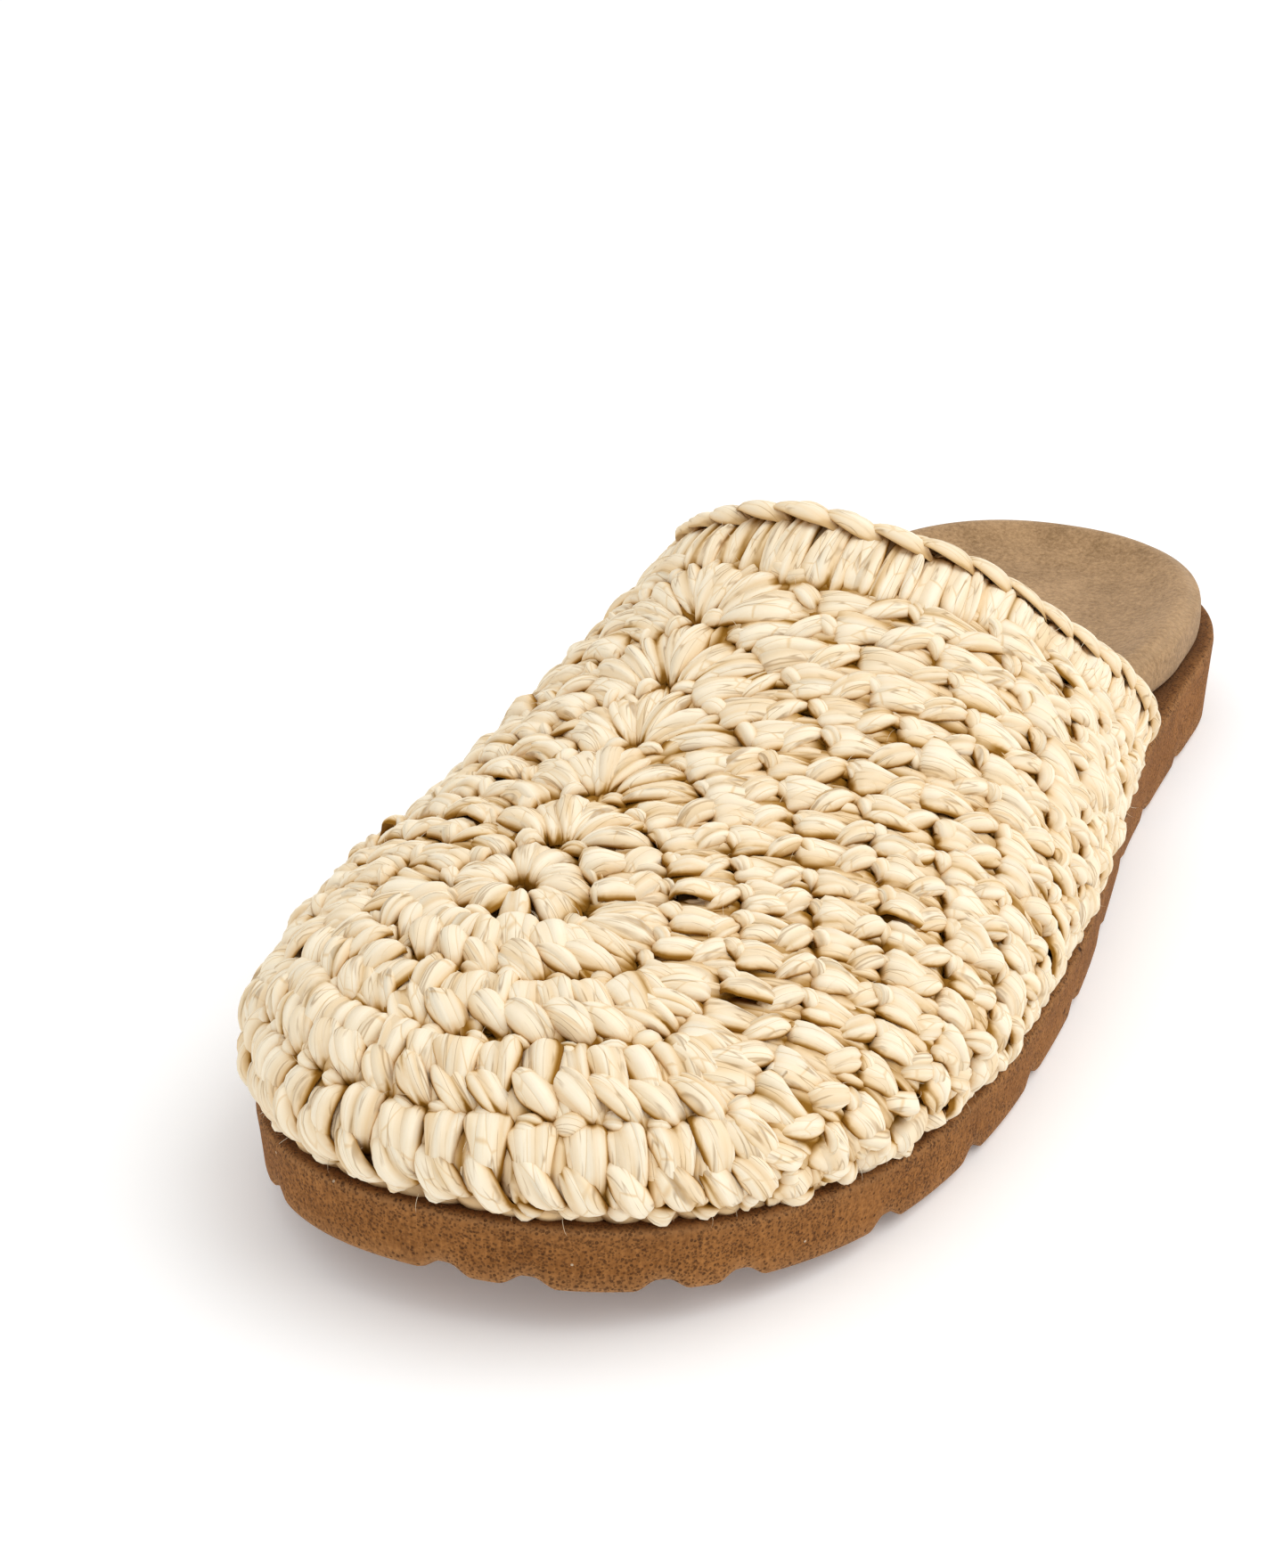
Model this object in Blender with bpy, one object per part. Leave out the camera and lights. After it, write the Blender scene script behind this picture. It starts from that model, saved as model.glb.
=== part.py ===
"""A left crocheted clog: lugged foam sole, suede footbed, hollow crocheted upper and collar edging.

Every size is in millimetres and the shoe is worked out in its last's own frame: y runs from the toe tip
to the heel, x to the outer side of the foot and z up from the floor.
"""
from collections import namedtuple
import math

import bmesh
import bpy
import numpy as np

# Driving dimensions of the last and the sole
MM = 0.001
LENGTH = 252.0
TOE_TIP_X = -4.6
HEEL_TIP_X = 1.4
MEDIAL_TOE_DEPTH = 66.0
LATERAL_TOE_DEPTH = 82.0
MEDIAL_TOE_POWER = 2.22
LATERAL_TOE_POWER = 2.34
HEEL_DEPTH = 40.0
HEEL_POWER = 2.2
TOE_SPRING = 7.5
SPRING_END = 78.0
ARCH_START = 124.0
ARCH_END = 176.0
ARCH_RISE = 1.8
HEEL_BEVEL = 14.0
HEEL_BEVEL_RISE = 2.0
SEAT_GAP = 0.3

# Sole edge: rounded steps between the lugs, a soft top edge and a slight draft
LUG_STEP = 1.6
LUG_FLUTE = 9.0
EDGE_ROUND = 1.3
SOLE_DRAFT = 0.7
SOLE_LAND = 14.0

# Footbed
BED_CLEARANCE = 0.4
BED_REVEAL = 2.6
BED_FLARE_START = 3.0
BED_FLARE = 24.0
BED_POINTS = 44

# Upper
FEATHER_INSET = 4.4
WALL = 2.4
MEDIAL_BULGE = 3.8
LATERAL_BULGE = 6.4
BULGE_HEIGHT = 0.75
RING_X = -8.0
RING_Y = 40.0
RING_HOLE = 2.3
RIDGE_END_X = 1.5
COLLAR_PEAK = 116.0
COLLAR_END = 178.0
COLLAR_CURVE = 1.2
FRONT_ROUNDS = 5
TOE_CORNER = -30.0
STITCH_RISE = 1.7
STITCH_DIP = 1.1
FEATHER_RAYS = 76
BACK_RAYS = 20
SIDE_STARTS = (0, 1, 2)
BACK_STARTS = (0, 3, 5)
START_ORDER = (0, 2, 1, 2)
LAST_SECTION = 188.0
RIM_CLEAR = 0.3
SAME_ROUND = 0.24
TRIM_SNAP = 1.6
TRIM_GAP = 0.7
GAP_EVERY = 8
GAP_SHARE = 0.42
GAP_FLOOR = 0.12
NEAR = 1e-6

# Collar edging
BAND_AT_INSTEP = 6.0
BAND_AT_SIDE = 10.5
EDGING_STEPS = 60
TINY = 0.01

# Fineness of the lines that the surfaces are read from
OUTLINE_POINTS = 600
RAY_POINTS = 320
RIM_POINTS = 400
SHARP_ANGLE = 40.0

OutlineRow = namedtuple("OutlineRow", "from_toe medial lateral")
OUTLINE = (
    OutlineRow(0.0, -47.3, 47.5),
    OutlineRow(60.0, -47.3, 47.5),
    OutlineRow(84.0, -45.8, 47.8),
    OutlineRow(110.0, -40.8, 46.6),
    OutlineRow(140.0, -34.8, 42.6),
    OutlineRow(170.0, -31.8, 38.0),
    OutlineRow(200.0, -32.4, 36.2),
    OutlineRow(226.0, -33.4, 35.6),
    OutlineRow(252.0, -33.4, 35.6),
)

ProfileRow = namedtuple("ProfileRow", "from_toe sole_thickness ridge_height fullness")
PROFILE = (
    ProfileRow(0.0, 10.0, 40.4, 2.35),
    ProfileRow(40.0, 10.0, 41.0, 2.35),
    ProfileRow(60.0, 10.2, 42.8, 2.3),
    ProfileRow(78.0, 10.4, 46.4, 2.15),
    ProfileRow(90.0, 10.6, 51.6, 2.0),
    ProfileRow(100.0, 10.8, 57.8, 1.9),
    ProfileRow(112.0, 11.2, 66.2, 1.78),
    ProfileRow(120.0, 11.5, 69.6, 1.8),
    ProfileRow(135.0, 12.2, 69.6, 1.8),
    ProfileRow(155.0, 13.1, 71.5, 1.8),
    ProfileRow(175.0, 14.0, 71.5, 1.8),
    ProfileRow(215.0, 15.0, 71.5, 1.8),
    ProfileRow(252.0, 15.0, 71.5, 1.8),
)

BedRow = namedtuple("BedRow", "from_toe centre medial_rim lateral_rim")
FOOTBED = (
    BedRow(0.0, 3.4, 3.8, 3.8),
    BedRow(60.0, 3.4, 4.2, 4.2),
    BedRow(95.0, 4.4, 5.2, 4.8),
    BedRow(125.0, 5.2, 8.6, 6.0),
    BedRow(150.0, 4.8, 9.6, 6.2),
    BedRow(178.0, 3.8, 8.6, 6.4),
    BedRow(205.0, 3.2, 7.4, 7.0),
    BedRow(230.0, 3.2, 7.0, 7.0),
    BedRow(252.0, 3.6, 7.0, 7.0),
)

BedRing = namedtuple("BedRing", "inset follows_rim rim_share lift")
BED_RINGS = (
    BedRing(1.6, 0.0, 0.0, 0.0),
    BedRing(0.3, 0.0, 0.0, 0.4),
    BedRing(0.0, 1.0, 1.0, -2.4),
    BedRing(1.6, 1.0, 1.0, -0.5),
    BedRing(4.0, 1.0, 1.0, 0.0),
    BedRing(9.0, 1.0, 0.45, 0.0),
    BedRing(15.0, 1.0, 0.06, 0.0),
)

LugRow = namedtuple("LugRow", "along lift")
LUG = (
    LugRow(-2.6, 0.15),
    LugRow(-1.2, 1.0),
    LugRow(1.2, 1.0),
    LugRow(2.6, 0.15),
)

RecessRow = namedtuple("RecessRow", "lateral medial lateral_step medial_step")
RECESSES = (
    RecessRow(4.2, 4.2, 1.0, 0.0),
    RecessRow(15.0, 14.0, 1.0, 0.0),
    RecessRow(32.0, 27.0, 1.0, 1.0),
    RecessRow(43.0, 46.0, 1.0, 1.0),
    RecessRow(69.0, 66.0, 1.0, 1.0),
    RecessRow(92.0, 88.0, 1.0, 1.0),
    RecessRow(115.0, 110.0, 1.0, 1.0),
    RecessRow(138.0, 133.0, 1.0, 1.0),
    RecessRow(161.0, 156.0, 1.0, 1.0),
    RecessRow(184.0, 179.0, 1.0, 1.0),
    RecessRow(207.0, 203.0, 1.0, 1.0),
    RecessRow(230.0, 226.0, 1.0, 1.0),
    RecessRow(253.0, 249.0, 1.0, 1.0),
    RecessRow(276.0, 272.0, 1.0, 1.0),
)

PostRow = namedtuple("PostRow", "azimuth length")
SIDE_POSTS = (
    PostRow(-30.0, 11.6),
    PostRow(0.0, 10.2),
    PostRow(30.0, 9.5),
    PostRow(60.0, 10.4),
    PostRow(90.0, 12.4),
)

EdgingRow = namedtuple("EdgingRow", "up out wave twist")
EDGING = (
    EdgingRow(0.00, 0.9, 0.0, 0),
    EdgingRow(0.12, 1.8, 0.3, 0),
    EdgingRow(0.60, 2.0, 0.3, 0),
    EdgingRow(0.82, 1.2, 0.0, 0),
    EdgingRow(0.92, 2.3, 0.4, 1),
    EdgingRow(1.12, 1.6, 0.4, 1),
    EdgingRow(1.18, -0.2, 0.0, 0),
    EdgingRow(1.08, -1.8, 0.3, 1),
    EdgingRow(0.85, -2.2, 0.0, 0),
    EdgingRow(0.00, -2.4, 0.0, 0),
)

FinishRow = namedtuple("FinishRow", "node colour roughness")
FINISHES = (
    FinishRow("sole", (0.235, 0.105, 0.038), 0.85),
    FinishRow("insole", (0.36, 0.22, 0.115), 0.95),
    FinishRow("upper", (0.86, 0.70, 0.45), 0.62),
    FinishRow("collar_edging", (0.84, 0.67, 0.42), 0.62),
)


def column(table, name):
    """One named column of a table as an array."""
    return np.array([getattr(row, name) for row in table])


def flow(at, table, name):
    """Smooth curve through a table's column, read at a place along its first column."""
    stations = column(table, table[0]._fields[0])
    values = column(table, name)
    slopes = np.gradient(values, stations)
    left = np.clip(np.searchsorted(stations, at, side="right") - 1, 0, len(stations) - 2)
    width = stations[left + 1] - stations[left]
    t = np.clip((at - stations[left]) / width, 0.0, 1.0)
    keep = (1 + 2 * t) * (1 - t) ** 2
    turn_in = t * (1 - t) ** 2 * width * slopes[left]
    turn_out = t ** 2 * (t - 1) * width * slopes[left + 1]
    return keep * values[left] + (1 - keep) * values[left + 1] + turn_in + turn_out


def round_end(share, power):
    """Rounded end of an outline: 0 at the tip, 1 where the side runs straight on."""
    return (1 - (1 - np.clip(share, 0.0, 1.0)) ** power) ** (1 / power)


def sole_side(y, side):
    """Where the sole's outline lies on one side, at a distance from the toe tip."""
    depth = {"medial": MEDIAL_TOE_DEPTH, "lateral": LATERAL_TOE_DEPTH}[side]
    power = {"medial": MEDIAL_TOE_POWER, "lateral": LATERAL_TOE_POWER}[side]
    x = TOE_TIP_X + (flow(y, OUTLINE, side) - TOE_TIP_X) * round_end(y / depth, power)
    return HEEL_TIP_X + (x - HEEL_TIP_X) * round_end((LENGTH - y) / HEEL_DEPTH, HEEL_POWER)


def underside(y):
    """Height of the sole's underside: toe spring, flat forefoot, arch, flat heel and heel bevel."""
    spring = TOE_SPRING * np.clip(1 - y / SPRING_END, 0.0, 1.0) ** 2
    along_arch = np.clip((y - ARCH_START) / (ARCH_END - ARCH_START), 0.0, 1.0)
    bevel = np.clip((y - LENGTH + HEEL_BEVEL) / HEEL_BEVEL, 0.0, 1.0)
    return spring + ARCH_RISE * np.sin(math.pi * along_arch) ** 2 + HEEL_BEVEL_RISE * bevel ** 2


def sole_top(y):
    """Height of the sole's upper face: toe spring under an even thickness that grows to the heel."""
    spring = TOE_SPRING * np.clip(1 - y / SPRING_END, 0.0, 1.0) ** 2
    return spring + flow(y, PROFILE, "sole_thickness")


def inset_side(side, inset):
    """One side of the sole's outline from toe to heel, moved inwards by an even distance."""
    y = LENGTH * (1 - np.cos(np.linspace(0.0, math.pi, OUTLINE_POINTS))) / 2
    x = sole_side(y, side)
    along = np.stack([np.gradient(x), np.gradient(y)], axis=1)
    along /= np.linalg.norm(along, axis=1)[:, None]
    sign = {"medial": 1.0, "lateral": -1.0}[side]
    inward = sign * np.stack([along[:, 1], -along[:, 0]], axis=1)
    inward[0] = (0.0, 1.0)
    inward[-1] = (0.0, -1.0)
    return np.stack([x, y], axis=1) + inset * inward


def along_line(points, shares):
    """Points at given shares of a line's length."""
    steps = np.linalg.norm(np.diff(points, axis=0), axis=1)
    length = np.concatenate([[0.0], np.cumsum(steps)])
    wanted = np.asarray(shares) * length[-1]
    return np.stack([np.interp(wanted, length, points[:, k]) for k in range(points.shape[1])], axis=1)


def both_sides(inset, outer_shares, inner_shares):
    """Closed loop round the sole: the outer side from toe to heel, then the inner side back."""
    outer = along_line(inset_side("lateral", inset), outer_shares)
    inner = along_line(inset_side("medial", inset), inner_shares)
    return np.concatenate([outer, inner[-2:0:-1]])


def raised(loop, height):
    """A plan loop lifted to a height for each of its points."""
    return np.column_stack([loop, np.broadcast_to(height, len(loop))])


def skin(loops):
    """Closed solid through a stack of equal loops, with ladder caps across the first and the last."""
    size = len(loops[0])
    faces = []
    for level in range(len(loops) - 1):
        low = level * size
        for i in range(size):
            j = (i + 1) % size
            faces.append((low + i, low + j, low + size + j, low + size + i))
    for start in (0, (len(loops) - 1) * size):
        faces.append((start, start + 1, start + size - 1))
        for i in range(1, size // 2 - 1):
            faces.append((start + i, start + i + 1, start + size - i - 1, start + size - i))
        half = size // 2
        faces.append((start + half - 1, start + half, start + half + 1))
    return np.concatenate(loops), faces


def lug_shares(side):
    """Places along one side of the sole: a short recess between low arcs, and how far each place lifts."""
    line = inset_side(side, 0.0)
    length = np.linalg.norm(np.diff(line, axis=0), axis=1).sum()
    stations = [0.0]
    lifts = [0.0]
    for centre, step in zip(column(RECESSES, side), column(RECESSES, side + "_step")):
        stations.append((stations[-1] + centre + LUG[0].along) / 2)
        lifts.append(0.0)
        for row in LUG:
            stations.append(centre + row.along)
            lifts.append(row.lift * step)
    stations += [(stations[-1] + length) / 2, length]
    return np.array(stations) / length, np.array(lifts + [0.0, 0.0])


def sole_solid():
    """Foam sole: flat seats, fluted lug edge, drafted wall, soft top edge and a plain upper face."""
    outer_shares, outer_lifts = lug_shares("lateral")
    inner_shares, inner_lifts = lug_shares("medial")
    lift = LUG_STEP * np.concatenate([outer_lifts, inner_lifts[-2:0:-1]])
    land = both_sides(SOLE_LAND, outer_shares, inner_shares)
    flute = both_sides(LUG_FLUTE, outer_shares, inner_shares)
    tread = both_sides(SOLE_DRAFT + EDGE_ROUND, outer_shares, inner_shares)
    wall_low = both_sides(SOLE_DRAFT, outer_shares, inner_shares)
    wall_high = both_sides(0.0, outer_shares, inner_shares)
    top_edge = both_sides(EDGE_ROUND, outer_shares, inner_shares)
    return skin([
        raised(land, underside(land[:, 1])),
        raised(flute, underside(flute[:, 1])),
        raised(tread, underside(tread[:, 1]) + lift),
        raised(wall_low, underside(wall_low[:, 1]) + EDGE_ROUND + lift),
        raised(wall_high, sole_top(wall_high[:, 1]) - EDGE_ROUND),
        raised(top_edge, sole_top(top_edge[:, 1])),
        raised(land, sole_top(land[:, 1])),
    ])


def bed_inset(y):
    """How far the footbed stays inside the sole: within the upper in front, near the edge behind it."""
    inside_upper = FEATHER_INSET + WALL + BED_CLEARANCE
    behind = np.clip((y - COLLAR_END - BED_FLARE_START) / BED_FLARE, 0.0, 1.0)
    return inside_upper + (BED_REVEAL - inside_upper) * behind ** 2 * (3 - 2 * behind)


def bed_loop(extra):
    """Loop round the footbed, moved inwards by an extra distance from its own edge."""
    shares = (1 - np.cos(np.linspace(0.0, math.pi, BED_POINTS + 1))) / 2
    shares = 0.5 * shares + 0.5 * np.linspace(0.0, 1.0, BED_POINTS + 1)
    near = both_sides(BED_REVEAL + extra, shares, shares)
    far = both_sides(FEATHER_INSET + WALL + BED_CLEARANCE + extra, shares, shares)
    span = FEATHER_INSET + WALL + BED_CLEARANCE - BED_REVEAL
    blend = ((bed_inset(near[:, 1]) - BED_REVEAL) / span)[:, None]
    return near + (far - near) * blend


def bed_rise(loop, rim_share):
    """Height of the footbed over the sole along a loop, between its dished middle and that side's rim."""
    y = loop[:, 1]
    centre = flow(y, FOOTBED, "centre")
    outer = flow(y, FOOTBED, "lateral_rim")
    inner = flow(y, FOOTBED, "medial_rim")
    middle = (sole_side(y, "lateral") + sole_side(y, "medial")) / 2
    half = (sole_side(y, "lateral") - sole_side(y, "medial")) / 2
    lean = np.clip((loop[:, 0] - middle) / np.maximum(half, 1.0), -1.0, 1.0)
    rim = inner + (outer - inner) * (1 + lean) / 2
    return centre + (rim - centre) * rim_share


def insole_solid():
    """Footbed: flat below, rolled rim, heel cup and arch dished towards a flat middle."""
    loops = []
    for ring in BED_RINGS:
        loop = bed_loop(ring.inset)
        rise = ring.follows_rim * bed_rise(loop, ring.rim_share) + ring.lift
        loops.append(raised(loop, sole_top(loop[:, 1]) + SEAT_GAP + rise))
    return skin(loops)


def feather_line():
    """The line where the upper meets the sole: both sides from toe to heel."""
    return inset_side("lateral", FEATHER_INSET), inset_side("medial", FEATHER_INSET)


def feather_reach(azimuth):
    """Plan distance from the crochet ring to the feather line in each direction."""
    lateral, medial = feather_line()
    loop = np.concatenate([medial[::-1], lateral[1:]]) - (RING_X, RING_Y)
    angle = np.unwrap(np.arctan2(loop[:, 1], loop[:, 0]))
    turned = angle[0] + np.mod(azimuth - angle[0], 2 * math.pi)
    return np.interp(turned, angle, np.hypot(loop[:, 0], loop[:, 1]))


def ridge_x(y):
    """Sideways place of the upper's ridge, from the crochet ring to the collar."""
    return RING_X + (RIDGE_END_X - RING_X) * np.clip((y - RING_Y) / (COLLAR_PEAK - RING_Y), 0.0, 1.0)


def half_widths(y):
    """Distances from the ridge to the feather line on the outer and the inner side."""
    lateral, medial = feather_line()
    outer = np.interp(y, lateral[:, 1], lateral[:, 0]) - ridge_x(y)
    inner = ridge_x(y) - np.interp(y, medial[:, 1], medial[:, 0])
    return outer, inner


def section_share(outward, y):
    """Height on a section, from 0 to 1, at a share of the way out from its ridge."""
    fullness = flow(y, PROFILE, "fullness")
    return (1 - outward ** fullness) ** (1 / fullness)


def over_last(x, y):
    """The upper's outer face over a plan point: sections behind the ring, a round dome before it.

    Returns the points and how far up its section each lies (1 on the ridge, 0 on the feather line).
    """
    azimuth = np.arctan2(y - RING_Y, x - RING_X)
    behind = y >= RING_Y
    half_out, half_in = half_widths(y)
    across = np.where(x > ridge_x(y), (x - ridge_x(y)) / half_out, (ridge_x(y) - x) / half_in)
    radial = np.hypot(x - RING_X, y - RING_Y) / feather_reach(azimuth)
    outward = np.clip(np.where(behind, across, radial), 0.0, 1.0)
    share = section_share(outward, y)
    foot = sole_top(y) + SEAT_GAP
    z = foot + (flow(y, PROFILE, "ridge_height") - foot) * share
    lean = np.where(behind, x > ridge_x(y), (1 + np.cos(azimuth)) / 2)
    swell = (MEDIAL_BULGE + (LATERAL_BULGE - MEDIAL_BULGE) * lean) * np.sin(math.pi * share ** BULGE_HEIGHT)
    swell_x = np.where(behind, np.sign(x - ridge_x(y)), np.cos(azimuth))
    swell_y = np.where(behind, 0.0, np.sin(azimuth))
    return np.stack([x + swell * swell_x, y + swell * swell_y, z], axis=-1), share


def collar_y(share, band):
    """How far back the collar lies at each height: its edge (band 0) or the foot of its edging (band 1)."""
    edge = COLLAR_PEAK + (COLLAR_END - COLLAR_PEAK) * (1 - share) ** COLLAR_CURVE
    return edge - band * (BAND_AT_INSTEP + (BAND_AT_SIDE - BAND_AT_INSTEP) * (1 - share))


def section_point(turn, band):
    """A point near the collar: turn runs from 1 (outer feather line) over 0 (ridge) to -1 (inner)."""
    outward = np.abs(np.sin(turn * math.pi / 2))
    y = collar_y(section_share(outward, COLLAR_PEAK), band)
    half_out, half_in = half_widths(y)
    x = ridge_x(y) + outward * np.where(turn > 0, half_out, -half_in)
    return over_last(x, y)[0]


def plan_rays(azimuth):
    """Lines over the upper from the ring to the feather line or to the last section behind the collar."""
    reach = feather_reach(azimuth)
    back = (LAST_SECTION - RING_Y) / np.maximum(np.sin(azimuth), NEAR)
    reach = np.where((np.sin(azimuth) > 0) & (back < reach), back, reach)
    radius = reach[:, None] * np.sin(np.linspace(0.0, math.pi / 2, RAY_POINTS))[None, :]
    x = RING_X + radius * np.cos(azimuth)[:, None]
    y = RING_Y + radius * np.sin(azimuth)[:, None]
    points, share = over_last(x, y)
    steps = np.linalg.norm(np.diff(points, axis=1), axis=2)
    length = np.concatenate([np.zeros((len(points), 1)), np.cumsum(steps, axis=1)], axis=1)
    return points, share, length


def ray_azimuths():
    """Directions of the rays, evenly spaced round the feather line and along the last section."""
    corners = []
    for line in feather_line():
        x = np.interp(LAST_SECTION, line[:, 1], line[:, 0])
        corners.append(math.atan2(LAST_SECTION - RING_Y, x - RING_X))
    lateral, medial = corners
    chosen = []
    for first, last, rays in ((medial, 2 * math.pi + lateral, FEATHER_RAYS), (lateral, medial, BACK_RAYS)):
        dense = np.linspace(first, last, RIM_POINTS)
        rim = plan_rays(dense)[0][:, -1]
        chosen.append(along_line(np.column_stack([rim, dense]), np.arange(rays) / rays)[:, 3])
    return np.concatenate(chosen)


def post_length(azimuth, reach):
    """Height of one crochet round in each direction: even rounds at the toe, longer at three corners."""
    turned = np.degrees(np.arctan2(np.sin(azimuth), np.cos(azimuth)))
    mirrored = np.where(np.abs(turned) > 90.0, np.sign(turned) * 180.0 - turned, turned)
    side = flow(mirrored, SIDE_POSTS, "length")
    return np.where(mirrored < TOE_CORNER, reach / FRONT_ROUNDS, side)


def first_round(index):
    """The round where a ray starts, so that rays multiply outwards as the stitches do."""
    starts = SIDE_STARTS if index < FEATHER_RAYS else BACK_STARTS
    return starts[START_ORDER[index % len(START_ORDER)]]


def ray_samples(index, reach, post):
    """Rounds at which one ray is sampled, each with the rise of the crochet there."""
    start = first_round(index)
    samples = [(RING_HOLE / post, STITCH_DIP)] if start == 0 else []
    ridge_rise = STITCH_RISE if index % 2 else STITCH_DIP
    for half in range(max(1, 2 * start), math.floor(2 * (reach / post - RIM_CLEAR)) + 1):
        samples.append((half / 2, ridge_rise if half % 2 else 0.0))
    samples.append((reach / post, STITCH_DIP / 2))
    return samples


def strip(left, right, low, high):
    """Faces between two neighbouring rays, over a range of rounds."""
    left = [s for s in left if low - NEAR <= s[0] <= high + NEAR]
    right = [s for s in right if low - NEAR <= s[0] <= high + NEAR]
    a = 0
    b = 0
    faces = []
    while a < len(left) - 1 or b < len(right) - 1:
        next_a = left[a + 1][0] if a < len(left) - 1 else math.inf
        next_b = right[b + 1][0] if b < len(right) - 1 else math.inf
        if abs(next_a - next_b) < SAME_ROUND:
            faces.append((left[a][1], left[a + 1][1], right[b + 1][1], right[b][1]))
            a += 1
            b += 1
        elif next_a < next_b:
            faces.append((left[a][1], left[a + 1][1], right[b][1]))
            a += 1
        else:
            faces.append((left[a][1], right[b + 1][1], right[b][1]))
            b += 1
    return faces


def point_at(ladder, rounds):
    """The point of a ray at a given round."""
    return [point for at, point in ladder if abs(at - rounds) < NEAR][0]


def crochet_sheet():
    """The crochet's outer face before it is trimmed, ring by ring: points, rises, heights and faces."""
    azimuth = ray_azimuths()
    rays, share, length = plan_rays(azimuth)
    reach = length[:, -1]
    post = post_length(azimuth, reach)
    rows = []
    ladders = []
    for i in range(len(azimuth)):
        ladder = []
        for rounds, rise in ray_samples(i, reach[i], post[i]):
            at = rounds * post[i]
            ladder.append((rounds, len(rows)))
            spot = [np.interp(at, length[i], rays[i, :, k]) for k in range(3)]
            rows.append(spot + [rise, np.interp(at, length[i], share[i])])
        ladders.append(ladder)
    faces = []
    for first, last, starts in ((0, FEATHER_RAYS, SIDE_STARTS), (FEATHER_RAYS, len(ladders), BACK_STARTS)):
        for step, low, high in ((4, 0, starts[1]), (2, starts[1], starts[2]), (1, starts[2], math.inf)):
            for i in range(first, last, step):
                j = (i + step) % len(ladders)
                faces += strip(ladders[i], ladders[j], low, high)
                if step > 1:
                    new_ray = ladders[i + step // 2][0][1]
                    faces.append((point_at(ladders[j], high), point_at(ladders[i], high), new_ray))
    return np.array(rows), faces


def past_trim(rows):
    """How far each point lies behind the line where the crochet ends and the edging starts."""
    return rows[:, 1] - collar_y(rows[:, 4], 1.0) + TRIM_GAP


def trimmed(rows, faces):
    """The sheet cut along the edging's line, with points that lie close to the line moved on to it."""
    past = past_trim(rows)
    close = np.abs(past) < TRIM_SNAP
    rows[close, 1] -= past[close]
    past[close] = 0.0
    rows = list(rows)
    cut_edges = {}
    kept = []
    for face in faces:
        outline = []
        for k, a in enumerate(face):
            b = face[(k + 1) % len(face)]
            if past[a] <= 0:
                outline.append(a)
            if past[a] * past[b] < 0:
                edge = tuple(sorted((a, b)))
                if edge not in cut_edges:
                    share = past[edge[0]] / (past[edge[0]] - past[edge[1]])
                    cut_edges[edge] = len(rows)
                    rows.append(rows[edge[0]] + share * (rows[edge[1]] - rows[edge[0]]))
                outline.append(cut_edges[edge])
        if len(outline) > 2 and min(past[list(face)]) < 0:
            kept.append(tuple(outline))
    used = sorted({point for face in kept for point in face})
    renumber = {old: new for new, old in enumerate(used)}
    return np.array([rows[k] for k in used]), [tuple(renumber[k] for k in face) for face in kept]


def point_normals(points, faces):
    """Outward direction at each point, averaged over its faces."""
    normals = np.zeros_like(points)
    for face in faces:
        corners = points[list(face)]
        normals[list(face)] += np.cross(corners, np.roll(corners, -1, axis=0)).sum(axis=0)
    normals /= np.linalg.norm(normals, axis=1)[:, None]
    outward = points - points.mean(axis=0)
    return normals if np.sum(normals * outward) > 0 else -normals


def upper_solid():
    """Hollow crocheted upper: one wall, raised round by round, with open gaps between some stitches."""
    rows, faces = trimmed(*crochet_sheet())
    points, rises, share = rows[:, :3], rows[:, 3], rows[:, 4]
    normals = point_normals(points, faces)
    outer = points + normals * rises[:, None]
    inner = points - normals * WALL
    on_sole = share < NEAR
    foot = sole_top(points[:, 1]) + SEAT_GAP
    outer[on_sole, 2] = foot[on_sole]
    inner[on_sole, 2] = foot[on_sole]
    outer = list(outer)
    inner = list(inner)
    sheet = []
    cells = 0
    for face in faces:
        corners = list(face)
        is_cell = len(face) == 4 and sum(rises[corners] == 0.0) == 2 and min(share[corners]) > GAP_FLOOR
        cells += is_cell
        if not is_cell or cells % GAP_EVERY:
            sheet.append(face)
            continue
        start = len(outer)
        for wall in (outer, inner):
            middle = np.mean([wall[k] for k in face], axis=0)
            wall += [middle + GAP_SHARE * (wall[k] - middle) for k in face]
        for k in range(4):
            n = (k + 1) % 4
            sheet.append((face[k], face[n], start + n, start + k))
    return closed_wall(np.array(outer), np.array(inner), sheet)


def closed_wall(outer, inner, sheet):
    """Solid between an outer and an inner sheet, closed along every open edge."""
    count = len(outer)
    uses = {}
    for face in sheet:
        for k in range(len(face)):
            edge = (face[k], face[(k + 1) % len(face)])
            uses.setdefault(tuple(sorted(edge)), []).append(edge)
    faces = list(sheet)
    faces += [tuple(count + k for k in reversed(face)) for face in sheet]
    for edges in uses.values():
        if len(edges) == 1:
            a, b = edges[0]
            faces.append((b, a, count + a, count + b))
    return np.concatenate([outer, inner]), faces


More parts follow.
